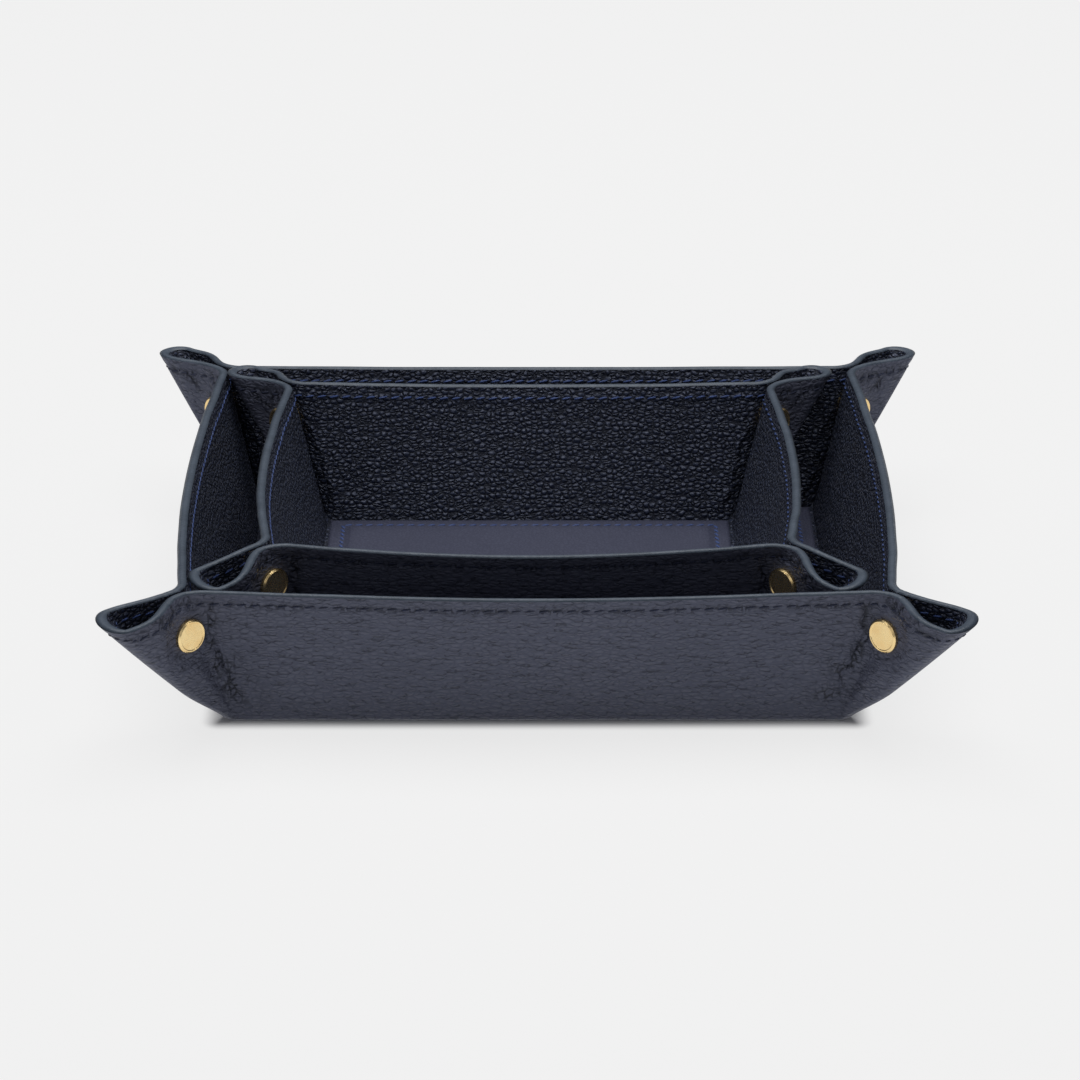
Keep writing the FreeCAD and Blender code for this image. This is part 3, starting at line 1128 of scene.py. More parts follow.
    def _crease(
        self, surface: np.ndarray, outline: Outline, rise: np.ndarray
    ) -> tuple[np.ndarray, np.ndarray]:
        """Press the soft creases round the stud and the rim's sewn groove into the outside.

        Args:
            surface: The outside surface.
            outline: The plan that it was raised from.
            rise: Each point's share of the wall's height.

        Returns:
            The creased surface, and how wrinkled it is from 0 to 1.
        """
        form = self.form
        spread = form.foot_crowding + (1 - form.foot_crowding) * rise
        depth = np.zeros(rise.shape)
        wrinkle = np.zeros(rise.shape)
        for crease in CREASES:
            (from_travel, from_rise), (to_travel, to_rise) = crease.start, crease.end
            share = (rise - from_rise) / (to_rise - from_rise)
            phase = self.random.uniform(0, math.tau)
            bends = sum(
                size * np.sin(rate * share + order * phase)
                for order, (rate, size) in enumerate(crease.WAVES, start=1)
            )
            straight = from_travel + (to_travel - from_travel) * share
            path = straight + crease.WANDER * bends / spread
            across = (outline.travel[:, None] - path) * spread / crease.width
            ends = smooth(share / crease.TAPER) * smooth((1 - share) / crease.TAPER)
            depth += crease.depth * np.exp(-(across**2)) * ends
            wrinkle = np.maximum(wrinkle, np.exp(-((across / form.wrinkle_spread) ** 2)) * ends)
        below_rim = np.linalg.norm(surface - surface[:, -1:], axis=-1)
        from_seam = (below_rim - form.seam_drop) / form.seam_width
        depth += form.seam_depth * np.exp(-(from_seam**2))
        gathers = np.exp(-((from_seam / form.seam_wrinkle_spread) ** 2))
        wrinkle = np.maximum(wrinkle, form.seam_wrinkle * gathers)
        across_step = np.gradient(surface, axis=0)
        rise_step = np.gradient(surface, axis=1)
        outward = unit(np.cross(rise_step, across_step))
        return surface - outward * depth[..., None], wrinkle

    def _mirrored(self, station: np.ndarray, end: int) -> np.ndarray:
        """Reflect a station's points in the upright plane through the corner at one end."""
        half_run = self.plan.half_run(self.wall)
        ahead, aside = station[:, 0] * end - half_run, station[:, 1]
        return np.stack([(aside + half_run) * end, ahead, station[:, 2]], axis=-1)

    def _past_tip(self, near: np.ndarray, tip: np.ndarray, end: int) -> np.ndarray:
        """The next station past an ear tip: a mirrored one that carries on the tip's slope."""
        beyond = self._mirrored(near, end)
        beyond[..., 2] = 2 * tip[..., 2] - near[..., 2]
        return beyond[None]

    def _normals(self, surface: np.ndarray) -> np.ndarray:
        """Outward normals, carried smoothly across the ear tips."""
        before = self._past_tip(surface[1], surface[0], -1)
        after = self._past_tip(surface[-2], surface[-1], 1)
        longer = np.concatenate([before, surface, after])
        return unit(np.cross(np.gradient(surface, axis=1), longer[2:] - longer[:-2]))

    def _level_rim(self, outside: np.ndarray, lining: np.ndarray) -> np.ndarray:
        """Cut the rim level, so that the lining ends as high as the outside."""
        first = self.form.foot_rows
        ruling = unit(lining[:, -1] - lining[:, first])
        excess = (lining[:, -1, 2] - outside[:, -1, 2]) / ruling[:, 2]
        share = np.linspace(0, 1, lining.shape[1] - first)
        cut = lining.copy()
        cut[:, first:] -= ruling[:, None] * (excess[:, None] * share)[..., None]
        return cut

    def _shape(self) -> SheetGrid:
        """Join both halves and thicken them inward to the lining."""
        right_plain, right_creased, right_wrinkle = self._half(self._outline(1))
        left_plain, left_creased, left_wrinkle = self._half(self._outline(-1))
        flip = np.array([-1.0, 1.0, 1.0])
        plain = np.concatenate([left_plain[::-1] * flip, right_plain[1:]])
        creased = np.concatenate([left_creased[::-1] * flip, right_creased[1:]])
        lining = self._level_rim(plain, plain - self._normals(plain) * self.form.thickness)
        wall = self.wall
        turn = np.stack([wall.along, wall.out, UP])
        return SheetGrid(
            outside=self.plan.to_world(wall, creased),
            lining=self.plan.to_world(wall, lining),
            normal=self._normals(creased) @ turn,
            wrinkle=np.concatenate([left_wrinkle[::-1], right_wrinkle[1:]]),
        )


def new_object(name: str, mesh: bpy.types.Mesh, materials: tuple = ()) -> bpy.types.Object:
    """Put a mesh in the scene, with any materials that it still needs."""
    for material in materials:
        mesh.materials.append(material)
    item = bpy.data.objects.new(name, mesh)
    bpy.context.scene.collection.objects.link(item)
    return item


class Side(IntEnum):
    """A side of the sheet, by its place among the sheet's materials."""

    OUTSIDE = 0
    LINING = 1
    EDGE = 2


@dataclass
class SheetPiece:
    """A closed piece of the sheet, with its outside, its lining and its painted rim.

    A loop of points runs round it at each station: up the outside, over the crown of the rim,
    where the piece has one, and down the lining.
    """

    grid: SheetGrid
    has_rim: bool = True
    CROWN = (0.2, 0.5, 0.8)
    CROWN_HEIGHT = 0.55
    RIM_NORMAL_LIFT = 0.4

    def __post_init__(self) -> None:
        """Lay out the loops and number their points."""
        grid = self.grid
        self.crown = self.CROWN if self.has_rim else ()
        crown = [
            grid.outside[:, -1:] * (1 - share)
            + grid.lining[:, -1:] * share
            + UP * self.CROWN_HEIGHT * math.sin(math.pi * share)
            for share in self.crown
        ]
        self.loops = np.concatenate([grid.outside, *crown, grid.lining[:, ::-1]], axis=1)
        self.stations, self.around = self.loops.shape[:2]
        self.top = grid.outside.shape[1] - 1
        self.top_end = self.top + len(self.crown) + 1
        self.index = np.arange(self.stations * self.around).reshape(self.stations, self.around)

    def build(self, name: str, palette: Palette) -> bpy.types.Object:
        """Make the piece.

        Args:
            name: The piece's name.
            palette: The trays' materials.

        Returns:
            The new object.
        """
        after = np.roll(self.index, -1, axis=1)
        sides = np.stack([self.index[:-1], self.index[1:], after[1:], after[:-1]], axis=-1)
        ends, end_normals = self._ends()
        faces = sides.reshape(-1, 4).tolist() + ends
        material = np.full(self.around, Side.LINING, int)
        material[: self.top] = Side.OUTSIDE
        if self.has_rim:
            material[self.top : self.top_end] = Side.EDGE
        face_materials = np.tile(material, self.stations - 1).tolist()
        face_materials += [int(Side.LINING)] * len(ends)
        wrinkle = np.zeros((self.stations, self.around), np.float32)
        wrinkle[:, : self.top + 1] = self.grid.wrinkle

        mesh = bpy.data.meshes.new(name)
        mesh.from_pydata((self.loops.reshape(-1, 3) * MM).tolist(), [], faces)
        mesh.polygons.foreach_set("material_index", face_materials)
        mesh.polygons.foreach_set("use_smooth", [True] * len(faces))
        mesh.normals_split_custom_set(self._side_normals().tolist() + end_normals)
        # Where the outside gathers fine crease lines, which the leather darkens with painted shade.
        mark = mesh.attributes.new(LeatherFinish.WRINKLE, "FLOAT", "POINT")
        mark.data.foreach_set("value", wrinkle.ravel())
        return new_object(name, mesh, (palette.outside, palette.lining, palette.edge))

    def _side_normals(self) -> np.ndarray:
        """Normals at the corners of the loops' faces, in the faces' order."""
        grid = self.grid
        blank = np.zeros((self.stations, len(self.crown), 3))
        side = np.concatenate([grid.normal, blank, -grid.normal[:, ::-1]], axis=1)
        turn = math.pi * np.array([0.0, *self.crown, 1.0])[None, :, None]
        lift = UP * (np.sin(turn) + self.RIM_NORMAL_LIFT)
        rim = unit(grid.normal[:, -1:] * np.cos(turn) + lift)
        underside = unit(grid.outside[:, 0] - grid.outside[:, 1])
        normals = np.empty((self.stations - 1, self.around, 4, 3))
        for step in range(self.around):
            first, second = side[:, step], side[:, (step + 1) % self.around]
            if self.top <= step < self.top_end:
                first, second = rim[:, step - self.top], rim[:, step - self.top + 1]
            elif step == self.around - 1:
                first = second = underside
            normals[:, step] = np.stack([first[:-1], first[1:], second[1:], second[:-1]], axis=1)
        return normals.reshape(-1, 3)

    def _ends(self) -> tuple[list, list]:
        """Close the first and the last loop.

        Returns:
            The faces, and the normals of their corners.
        """
        grid = self.grid
        faces, normals = [], []
        for station, way in ((0, -1), (self.stations - 1, 1)):
            upward = unit(grid.outside[station, -1] - grid.outside[station, -2])
            facing = unit(np.cross(upward, grid.normal[station, -1])) * way
            ring = self.index[station].tolist()
            strips = [
                [ring[row], ring[row + 1], ring[-2 - row], ring[-1 - row]]
                for row in range(self.top)
            ]
            if self.has_rim:
                strips.append(ring[self.top : self.top_end + 1])
            for strip in strips:
                faces.append(strip[::-way])
                normals.extend([facing.tolist()] * len(strip))
        return faces, normals


def plate(
    name: str,
    xs: np.ndarray,
    ys: np.ndarray,
    top: np.ndarray,
    bottom: float,
    material: bpy.types.Material,
) -> bpy.types.Object:
    """Make a closed plate with a shaped top and a flat underside.

    Args:
        name: The plate's name.
        xs: Places of its grid lines across the tray.
        ys: Places of its grid lines along the tray.
        top: Height of the top at each crossing.
        bottom: Height of the underside.
        material: The plate's material.

    Returns:
        The new object.
    """
    across, along = len(xs), len(ys)
    plan_x, plan_y = np.meshgrid(xs, ys, indexing="ij")
    upper = np.stack([plan_x, plan_y, top], axis=-1).reshape(-1, 3)
    lower = np.stack([plan_x, plan_y, np.full_like(top, bottom)], axis=-1).reshape(-1, 3)
    index = np.arange(across * along).reshape(across, along)
    quads = np.stack([index[:-1, :-1], index[1:, :-1], index[1:, 1:], index[:-1, 1:]], axis=-1)
    upper_faces = quads.reshape(-1, 4)
    border = np.concatenate([index[:-1, 0], index[-1, :-1], index[:0:-1, -1], index[0, :0:-1]])
    onward = np.roll(border, -1)
    count = across * along
    sides = np.stack([border + count, onward + count, onward, border], axis=-1)
    faces = np.concatenate([upper_faces, upper_faces[:, ::-1] + count, sides])
    mesh = bpy.data.meshes.new(name)
    mesh.from_pydata((np.concatenate([upper, lower]) * MM).tolist(), [], faces.tolist())
    smooth_faces = [True] * len(upper_faces) + [False] * (len(faces) - len(upper_faces))
    mesh.polygons.foreach_set("use_smooth", smooth_faces)
    return new_object(name, mesh, (material,))


@dataclass
class SeamPath:
    """A line that is sewn: its points and the way that the leather faces at each."""

    points: np.ndarray
    facing: np.ndarray

    def trimmed(self, cut: float) -> "SeamPath":
        """Shorten the line by the same length at both ends."""
        steps = np.linalg.norm(np.diff(self.points, axis=0), axis=-1)
        travel = np.concatenate([[0.0], np.cumsum(steps)])
        inside = travel[(travel > cut) & (travel < travel[-1] - cut)]
        places = np.concatenate([[cut], inside, [travel[-1] - cut]])
        return SeamPath(
            np.stack([np.interp(places, travel, self.points[:, i]) for i in range(3)], axis=-1),
            np.stack([np.interp(places, travel, self.facing[:, i]) for i in range(3)], axis=-1),
        )


SEAM_FACING = "seam_facing"
BEAD = {"Segments": 8, "Rings": 6, "Radius": 0.5}
BEAD_TURN = (0.0, math.pi / 2, 0.0)


def build_stitch_tree() -> Tree:
    """Build the node tree that sets a stitch at each pitch along a line of edges."""
    tree = bpy.data.node_groups.new("sewn_stitches", "GeometryNodeTree")
    sockets = {
        "Geometry": "NodeSocketGeometry",
        "Pitch": "NodeSocketFloat",
        "Stitch Size": "NodeSocketVector",
        "Slant": "NodeSocketFloat",
        "Thread": "NodeSocketMaterial",
    }
    for label, kind in sockets.items():
        tree.interface.new_socket(label, in_out="INPUT", socket_type=kind)
    tree.interface.new_socket("Geometry", in_out="OUTPUT", socket_type="NodeSocketGeometry")
    canvas = NodeCanvas(tree)
    source = canvas.add("NodeGroupInput").outputs
    seam = canvas.out("GeometryNodeMeshToCurve", {0: source["Geometry"]})
    spaced = canvas.out(
        "GeometryNodeResampleCurve", {"Curve": seam, "Length": source["Pitch"]}, mode="LENGTH"
    )
    facing = canvas.add(
        "GeometryNodeInputNamedAttribute", {"Name": SEAM_FACING}, data_type="FLOAT_VECTOR"
    ).outputs["Attribute"]
    tangent = canvas.out("GeometryNodeInputTangent")
    lengthwise = canvas.out("FunctionNodeAlignRotationToVector", {"Vector": tangent}, axis="X")
    upright = canvas.out(
        "FunctionNodeAlignRotationToVector",
        {"Rotation": lengthwise, "Vector": facing},
        axis="Z",
        pivot_axis="X",
    )
    slant = canvas.out("ShaderNodeCombineXYZ", {"Z": source["Slant"]})
    slanted = canvas.out(
        "FunctionNodeRotateRotation",
        {"Rotation": upright, "Rotate By": slant},
        rotation_space="LOCAL",
    )
    bead = canvas.out("GeometryNodeMeshUVSphere", BEAD)
    lying = canvas.out("GeometryNodeTransform", {"Geometry": bead, "Rotation": BEAD_TURN})
    sewn = canvas.out(
        "GeometryNodeInstanceOnPoints",
        {
            "Points": spaced,
            "Instance": lying,
            "Rotation": slanted,
            "Scale": source["Stitch Size"],
        },
    )
    real = canvas.out("GeometryNodeRealizeInstances", {0: sewn})
    soft = canvas.out("GeometryNodeSetShadeSmooth", {0: real})
    dyed = canvas.out(
        "GeometryNodeSetMaterial", {"Geometry": soft, "Material": source["Thread"]}
    )
    canvas.add("NodeGroupOutput", {"Geometry": dyed})
    return tree


@dataclass(frozen=True)
class StitchForm:
    """Size of a row's stitches in millimetres, and their slant across the row."""

    pitch: float
    length: float
    width: float
    height: float
    slant: float


RIM_STITCH = StitchForm(3.9, 3.0, 0.75, 0.55, math.radians(12))
TIP_STITCH = StitchForm(2.4, 1.5, 0.65, 0.35, math.radians(12))
FLOOR_STITCH = StitchForm(3.3, 2.7, 1.05, 0.6, math.radians(24))


@dataclass
class Stitching:
    """Sews rows of one kind of stitch along seams with a node tree."""

    tree: Tree
    form: StitchForm
    thread: bpy.types.Material

    def sew(self, name: str, seams: list[SeamPath]) -> bpy.types.Object:
        """Sew stitches along seams and keep them as one plain mesh.

        Args:
            name: The name of the row of stitches.
            seams: The lines to sew.

        Returns:
            The new object.
        """
        form = self.form
        points, edges, facing = [], [], []
        for seam in seams:
            cut = seam.trimmed(form.pitch / 2)
            first = len(points)
            points.extend((cut.points * MM).tolist())
            facing.extend(unit(cut.facing).ravel().tolist())
            edges.extend((first + i, first + i + 1) for i in range(len(cut.points) - 1))
        guide_mesh = bpy.data.meshes.new(f"{name}_guide")
        guide_mesh.from_pydata(points, edges, [])
        attribute = guide_mesh.attributes.new(SEAM_FACING, "FLOAT_VECTOR", "POINT")
        attribute.data.foreach_set("vector", facing)
        guide = new_object(f"{name}_guide", guide_mesh)
        modifier = guide.modifiers.new("stitches", "NODES")
        modifier.node_group = self.tree
        values = {
            "Pitch": form.pitch * MM,
            "Stitch Size": (form.length * MM, form.width * MM, form.height * MM),
            "Slant": form.slant,
            "Thread": self.thread,
        }
        for item in self.tree.interface.items_tree:
            if item.in_out == "INPUT" and item.name in values:
                modifier[item.identifier] = values[item.name]
        evaluated = guide.evaluated_get(bpy.context.evaluated_depsgraph_get())
        mesh = bpy.data.meshes.new_from_object(evaluated)
        mesh.name = name
        bpy.data.objects.remove(guide)
        bpy.data.meshes.remove(guide_mesh)
        return new_object(name, mesh)


class SewingKit:
    """The kinds of row: the rim and the ears' tips, each outside and lining, and the floor."""

    def __init__(self, palette: Palette) -> None:
        """Thread each kind of row."""
        tree = build_stitch_tree()
        threads = (palette.outside_thread, palette.lining_thread)
        self.rim = tuple(Stitching(tree, RIM_STITCH, thread) for thread in threads)
        self.tip = tuple(Stitching(tree, TIP_STITCH, thread) for thread in threads)
        self.floor = Stitching(tree, FLOOR_STITCH, palette.lining_thread)


@dataclass(frozen=True)
class FloorForm:
    """Section of a tray's floor in from its fold, in millimetres.

    The lining lies low along the folds, is sewn down, and rises over the board's edge. LINES
    are places in from its border, closer together where the height changes.
    """

    border: float = 3.0
    underside: float = 1.4
    leather_top: float = 1.3
    low: float = 3.0
    high: float = 4.05
    seam: float = 7.2
    seam_dip: float = 0.12
    seam_half_width: float = 0.7
    rise_start: float = 7.7
    rise_end: float = 10.7
    spacing: float = 6.0
    LINES = (0.0, 1.0, 2.0, 2.9, 3.3, 3.6, 3.9, 4.2, 4.5, 4.9, 5.4, 6.0, 6.6, 7.4, 9.0)

    def height(self, inset: np.ndarray) -> np.ndarray:
        """Height of the lining at a distance in from the fold."""
        rise = smooth((inset - self.rise_start) / (self.rise_end - self.rise_start))
        dip = self.seam_dip * np.exp(-(((inset - self.seam) / self.seam_half_width) ** 2))
        return self.low + (self.high - self.low) * rise - dip

    def lines(self, half: float) -> np.ndarray:
        """Grid lines across half a floor each way, close together near the seam."""
        side = half - self.border - np.array(self.LINES)
        count = int(2 * side[-1] / self.spacing)
        middle = np.linspace(-side[-1], side[-1], count + 1)[1:-1]
        return np.concatenate([-side, middle, side[::-1]])


@dataclass
class Tray:
    """One tray: its floor, its folded sheet, its thread and its press studs.

    FOLD_TURN holds two places, out from and above a fold, where the leather starts and ends its
    turn. PINCH_TURN and SPINE_TURN are half the widths of the turns at an ear.
    """

    plan: TrayPlan
    form: SheetForm
    floor_form: FloorForm
    palette: Palette
    kit: SewingKit
    seed: int
    THREAD_LIFT = 0.05
    FOLD_TURN = ((-3.0, 0.5), (1.0, 4.0))
    PINCH_TURN = 1.8
    SPINE_TURN = 1.9

    def __post_init__(self) -> None:
        """Shape the sheet's walls and find the row that its rim is sewn along."""
        self.sectors = {
            wall: SheetSector(self.plan, self.form, wall, self.seed + turn)
            for turn, wall in enumerate(Wall)
        }
        row_height = (self.plan.wall_height - self.form.fold_reach) / self.form.rise_steps
        self.seam_row = -1 - round(self.form.seam_drop / row_height)

    def build(self) -> None:
        """Make and dress every piece of the tray."""
        self._build_floor()
        for wall in Wall:
            self._build_wall(wall)
            for end in (1, -1):
                if wall.holds_caps:
                    self._build_cap_ear(wall, end)
                else:
                    self._build_stud_ear(wall, end)
            self._build_corner(wall)
        self._dress_nodes()

    def _name(self, part: str) -> str:
        """A piece's full name."""
        return f"{self.plan.name}_{part}"

    def _finish(self, piece: bpy.types.Object, slot: str, *nodes: str) -> None:
        """Hide the solids that a piece stands for, and report it."""
        if nodes:
            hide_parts(*nodes)
        LOG.info("%s: %d faces", piece.name, len(piece.data.polygons))

    def _sew_rim(
        self, name: str, grid: SheetGrid, rows: tuple[Stitching, Stitching]
    ) -> list[bpy.types.Object]:
        """Sew the rim's seam on both sides of a stretch of the sheet.

        Args:
            name: The stretch's name.
            grid: The stretch.
            rows: The kinds of row for the outside and for the lining.

        Returns:
            The outside's thread and the lining's.
        """
        facing = grid.normal[:, self.seam_row]
        sides = (("outside", grid.outside, facing), ("lining", grid.lining, -facing))
        threads = []
        for row, (side, surface, outward) in zip(rows, sides):
            points = surface[:, self.seam_row] + self.THREAD_LIFT * outward
            threads.append(row.sew(f"{name}_{side}_thread", [SeamPath(points, outward)]))
        return threads

    def _build_floor(self) -> None:
        """Make the floor's leather and lining, and the seam round the board."""
        plan, form = self.plan, self.floor_form
        body, base = self._name("base"), plan.centre[2]
        xs, ys = form.lines(plan.half_width), form.lines(plan.half_depth)
        inset_x = (plan.half_width - np.abs(xs))[:, None]
        inset_y = (plan.half_depth - np.abs(ys))[None, :]
        top = form.height(np.minimum(inset_x, inset_y)) + base
        placed = (xs + plan.centre[0], ys + plan.centre[1])
        lining = plate(
            self._name("floor_lining"), *placed, top, base + form.underside, self.palette.floor
        )
        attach(lining, body)
        self._finish(lining, LINING_SLOT, self._name("base_lining"))
        leather_top = np.full_like(top, base + form.leather_top)
        leather = plate(
            self._name("floor_leather"), *placed, leather_top, base, self.palette.outside
        )
        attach(leather, body)
        self._finish(leather, OUTSIDE_SLOT, self._name("base_leather"))
        seams = []
        level = base + float(form.height(np.array(form.seam))) + self.THREAD_LIFT
        for wall in Wall:
            half = plan.half_run(wall) - form.seam
            out = plan.half_across(wall) - form.seam
            ends = np.array([-half, half])[:, None] * wall.along + out * wall.out
            points = ends + [plan.centre[0], plan.centre[1], level]
            seams.append(SeamPath(points, np.tile(UP, (2, 1))))
        thread = self.kit.floor.sew(self._name("floor_thread"), seams)
        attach(thread, body)
        self._finish(thread, LINING_SLOT)

    def _build_wall(self, wall: Wall) -> None:
        """Make a wall that bends out of the floor at its fold."""
        sector, form = self.sectors[wall], self.form
        reach = form.wall_steps + (0 if wall.holds_caps else form.half_bend)
        grid = sector.grid.part(sector.station(-1, reach), sector.station(1, reach))
        body = self._name(f"{wall.value}_wall")
        sheet = SheetPiece(grid).build(f"{body}_sheet", self.palette)
        ends = [
            self.plan.to_world(wall, np.array([0.0, out, height])) * MM
            for out, height in self.FOLD_TURN
        ]
        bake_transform(sheet)
        self._finish(sheet, OUTSIDE_SLOT, f"{body}_leather", f"{body}_lining")
        for thread in self._sew_rim(body, grid, self.kit.rim):
            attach(thread, body)
            self._finish(thread, OUTSIDE_SLOT)

    def _rooted(self, grid: SheetGrid) -> SheetGrid:
        """Tuck an ear's lowest rows into the corner's foot, which they leave as the ear opens."""
        return grid.tucked(self.form.root_steps, self.form.root_inset)

    def _ear(self, wall: Wall, end: int, first: int, body: str) -> list[bpy.types.Object]:
        """Make an ear half up to its loop.

        Args:
            wall: The ear half's wall.
            end: The wall's end, 1 or -1.
            first: Steps from the wall's middle where the ear half starts.
            body: The ear half's body.

        Returns:
            Its sheet, the outside's thread and the lining's.
        """
        sector, form = self.sectors[wall], self.form
        stations = sorted(sector.station(end, steps) for steps in (first, form.loop_start))
        grid = self._rooted(sector.grid.part(*stations, low=form.root_row))
        sheet = SheetPiece(grid).build(f"{body}_sheet", self.palette)
        return [sheet, *self._sew_rim(body, grid, self.kit.rim)]

    def _finish_ear(self, pieces: list[bpy.types.Object], body: str) -> None:
        """Hide the solid that an ear half's sheet stands for, and report the sheet and its threads.
        """
        sheet, *threads = pieces
        self._finish(sheet, OUTSIDE_SLOT, body)
        for thread in threads:
            self._finish(thread, OUTSIDE_SLOT)

    def _build_cap_ear(self, wall: Wall, end: int) -> None:
        """Make the ear half that holds a cap, bending out of its wall at the pinch."""
        sector, form = self.sectors[wall], self.form
        corner = wall.corner(end)
        body = self._name(f"{corner}_cap_ear")
        pieces = self._ear(wall, end, form.wall_steps, body)
        axis = unit(np.array(JOINTS[self._name(f"{corner}_pinch")]["axis"]))
        bend = sector.station(end, form.wall_steps + form.half_bend)
        half_turn = form.EAR_TURN / 2
        onward = wall.along * end * math.cos(half_turn) + wall.out * math.sin(half_turn)
        onward = unit(onward - axis * onward.dot(axis)) * self.PINCH_TURN
        for piece in pieces:
            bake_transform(piece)
        self._finish_ear(pieces, body)

    def _build_stud_ear(self, wall: Wall, end: int) -> None:
        """Make the ear half that holds a stud, which meets its wall in the bend."""
        body = self._name(f"{wall.corner(end)}_stud_ear")
        pieces = self._ear(wall, end, self.form.wall_steps + self.form.half_bend, body)
        for piece in pieces:
            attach(piece, body)
        self._finish_ear(pieces, body)

    def _round_tip(
        self, wall: Wall, first: int, last: int, low: int, high: int | None
    ) -> SheetGrid:
        """Cut a stretch of the sheet that runs round the ear's tip at a wall's far end.

        Args:
            wall: The wall before the tip.
            first: Steps from that wall's middle where the stretch starts.
            last: Steps from the next wall's middle where it ends.
            low: The lowest row.
            high: The highest row, or None for the rim.

        Returns:
            The stretch.
        """
        here, there = self.sectors[wall], self.sectors[wall.neighbour(1)]
        tip = here.middle
        before = here.grid.part(here.station(1, first), here.station(1, tip), low, high)
        after = there.grid.part(there.station(-1, tip), there.station(-1, last), low, high)
        return before.joined(after)

    def _build_corner(self, wall: Wall) -> None:
        """Make the rounded spine of the ear past a wall's far end, and its foot on the floor."""
        form = self.form
        corner = wall.corner(1)
        ends = (form.loop_start, form.loop_start)
        grid = self._rooted(self._round_tip(wall, *ends, form.root_row, None))
        fold = SheetPiece(grid).build(self._name(f"{corner}_ear_fold"), self.palette)
        across = unit(wall.along + wall.neighbour(1).along) * self.SPINE_TURN
        if not wall.holds_caps:
            across = -across
        for piece in (fold, *self._sew_rim(fold.name, grid, self.kit.tip)):
            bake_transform(piece)
            self._finish(piece, OUTSIDE_SLOT)
        first = form.wall_steps + (0 if wall.holds_caps else form.half_bend)
        last = form.wall_steps + (form.half_bend if wall.holds_caps else 0)
        foot_grid = self._round_tip(wall, first, last, 0, form.foot_rows)
        foot = SheetPiece(foot_grid, has_rim=False).build(
            self._name(f"{corner}_foot"), self.palette
        )
        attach(foot, self._name("base"))
        self._finish(foot, OUTSIDE_SLOT)

    def _dress_nodes(self) -> None:
        """Give the solids that stay in view their finishes."""
        for label, node in frame["nodes"].items():
            if not label.startswith(f"{self.plan.name}_"):
                continue
            if "_snap_" in label:
                node.data.materials[0] = self.palette.brass
            elif label.endswith("_board"):
                node.data.materials[0] = self.palette.board


@dataclass(frozen=True)
class Lamp:
    """A square soft light: its place, what it faces, its side in metres and its watts."""

    name: str
    place: Triple
    target: Triple
    size: float
    power: float


LAMPS = (
    Lamp("overhead", (0.0, 0.25, 1.7), (0.0, 0.0, 0.0), 1.9, 33.0),
    Lamp("front_fill", (-0.5, -1.9, 1.0), (0.0, 0.0, 0.02), 1.2, 2.0),
)


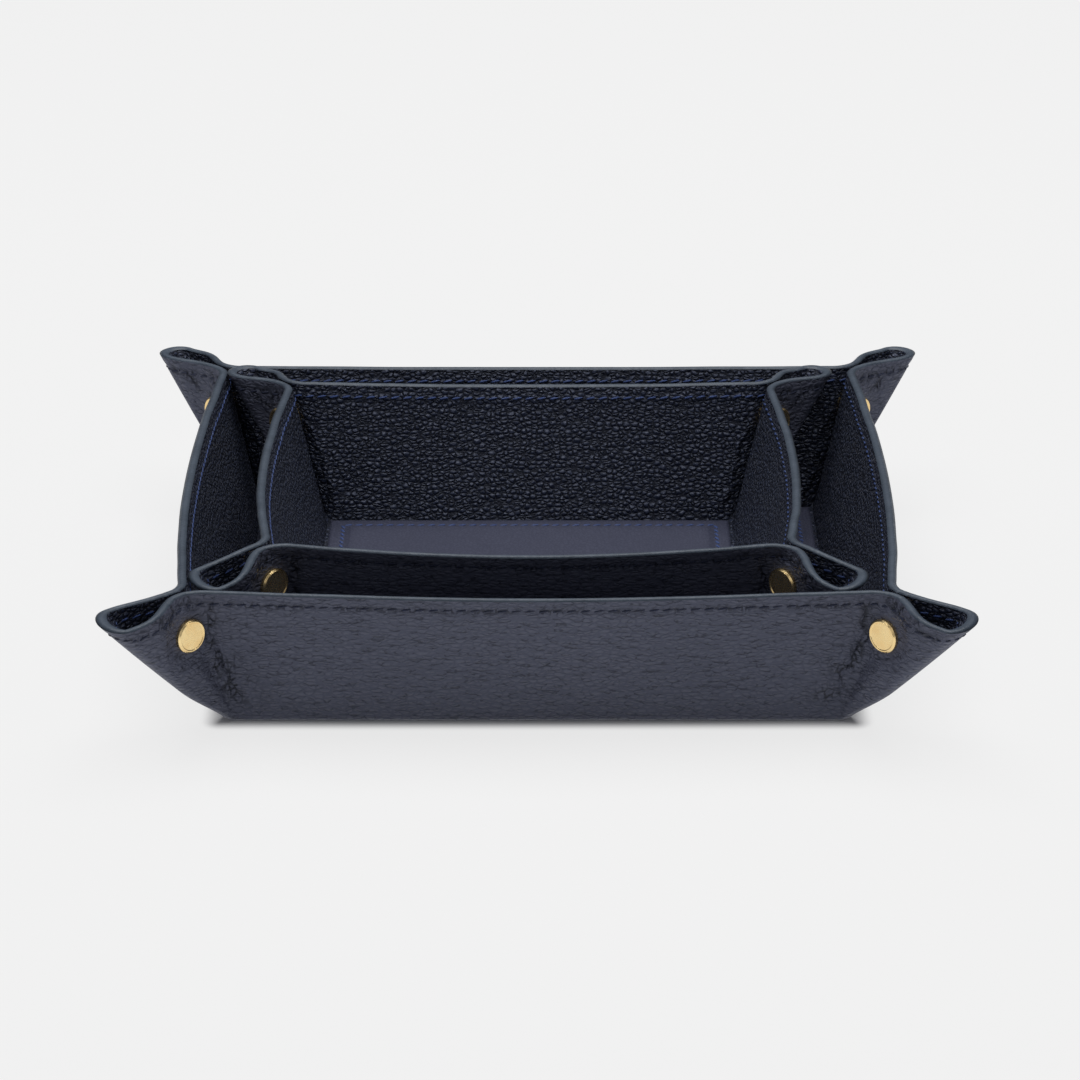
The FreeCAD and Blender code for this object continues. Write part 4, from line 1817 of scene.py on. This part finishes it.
@dataclass(frozen=True)
class Studio:
    """The pale floor, the soft lights and the camera, in metres.

    The floor glows for the camera and in mirrors, so that it stays pale. For the camera the glow
    fades towards the large tray's foot, so that the tray's shadow shows there.
    """

    elevation: float = math.radians(21.69)
    distance: float = 1.3356
    target: Triple = (0.00086, 0.00394, 0.022)
    lens: float = 144.0
    sensor: float = 36.0
    floor_size: float = 12.0
    floor_colour: Colour = srgb(242, 242, 242)
    floor_roughness: float = 0.9
    floor_gloss: float = 0.2
    foot_half: Triple = (0.092, 0.084, 0.0)
    shadow_reach: float = 0.007
    near_glow: float = 0.0
    floor_glow: float = 0.85
    world_colour: Colour = srgb(238, 238, 240)
    world_strength: float = 0.2

    def build(self) -> None:
        """Set up the stage, the lights, the world and the camera."""
        self._build_floor()
        for lamp in LAMPS:
            self._hang(lamp)
        self._build_world()
        self._build_camera()
        bpy.context.scene.view_settings.view_transform = "Standard"

    def _build_floor(self) -> None:
        """Lay a plain pale floor under the trays."""
        half = self.floor_size / 2
        mesh = bpy.data.meshes.new("studio_floor")
        corners = [(-half, -half, 0), (half, -half, 0), (half, half, 0), (-half, half, 0)]
        mesh.from_pydata(corners, [], [(0, 1, 2, 3)])
        bench = Workbench.start("pale_floor")
        bench.set(
            Base_Color=self.floor_colour,
            Roughness=self.floor_roughness,
            Specular_IOR_Level=self.floor_gloss,
        )
        canvas = bench.canvas
        path = canvas.add("ShaderNodeLightPath").outputs
        mirrored = canvas.math("MAXIMUM", path["Is Glossy Ray"], path["Is Transmission Ray"])
        aside = canvas.vector("ABSOLUTE", bench.place)
        beyond = canvas.vector("SUBTRACT", aside, self.foot_half)
        outside = canvas.vector("MAXIMUM", beyond, (0.0, 0.0, 0.0))
        away = canvas.add("ShaderNodeVectorMath", {0: outside}, operation="LENGTH").outputs["Value"]
        near = Ramp(0.0, self.shadow_reach, self.near_glow, self.floor_glow)
        seen = canvas.math("MULTIPLY", path["Is Camera Ray"], canvas.ramp(away, near))
        glow = canvas.out("ShaderNodeEmission", {"Color": self.floor_colour})
        share = canvas.math("MAXIMUM", seen, canvas.math("MULTIPLY", mirrored, self.floor_glow))
        lit = bench.shader.outputs[0]
        mixed = canvas.out("ShaderNodeMixShader", {0: share, 1: lit, 2: glow})
        canvas.fill(canvas.tree.nodes["Material Output"].inputs["Surface"], mixed)
        new_object("studio_floor", mesh, (bench.material,))

    def _hang(self, lamp: Lamp) -> None:
        """Hang a soft light."""
        light = bpy.data.lights.new(lamp.name, "AREA")
        light.size = lamp.size
        light.energy = lamp.power
        item = bpy.data.objects.new(lamp.name, light)
        self._aim(item, np.array(lamp.place), np.array(lamp.target))

    def _build_world(self) -> None:
        """Fill the room with a plain pale light."""
        world = bpy.data.worlds.new("studio")
        world.use_nodes = True
        background = world.node_tree.nodes["Background"]
        background.inputs["Color"].default_value = self.world_colour
        background.inputs["Strength"].default_value = self.world_strength
        bpy.context.scene.world = world

    def _build_camera(self) -> None:
        """Stand the camera where the picture was taken from."""
        lens = bpy.data.cameras.new("camera")
        lens.lens = self.lens
        lens.sensor_width = self.sensor
        item = bpy.data.objects.new("camera", lens)
        back = np.array([0.0, -math.cos(self.elevation), math.sin(self.elevation)])
        target = np.array(self.target)
        self._aim(item, target + self.distance * back, target)
        bpy.context.scene.camera = item

    def _aim(self, item: bpy.types.Object, place: np.ndarray, target: np.ndarray) -> None:
        """Put an object in the scene, with its back to the sky and its -Z axis on a target."""
        away = target - place
        level = math.hypot(away[0], away[1])
        item.location = place
        item.rotation_euler = (math.atan2(level, -away[2]), 0.0, math.atan2(-away[0], away[1]))
        bpy.context.scene.collection.objects.link(item)


TRAY_FORMS = {
    "outer": SheetForm(),
    "inner": SheetForm(front_tip_drop=4.8, back_tip_drop=0.3, front_dip=0.1, back_dip=-1.0),
}
TRAY_SEEDS = {"outer": 10, "inner": 20}


def main() -> None:
    """Build both trays and the studio."""
    logging.basicConfig(level=logging.INFO, format="%(name)s: %(message)s")
    palette = Palette()
    kit = SewingKit(palette)
    for name, form in TRAY_FORMS.items():
        plan = TrayPlan.from_frame(name)
        Tray(plan, form, FloorForm(), palette, kit, TRAY_SEEDS[name]).build()
    Studio().build()


if __name__ == "__main__":
    main()
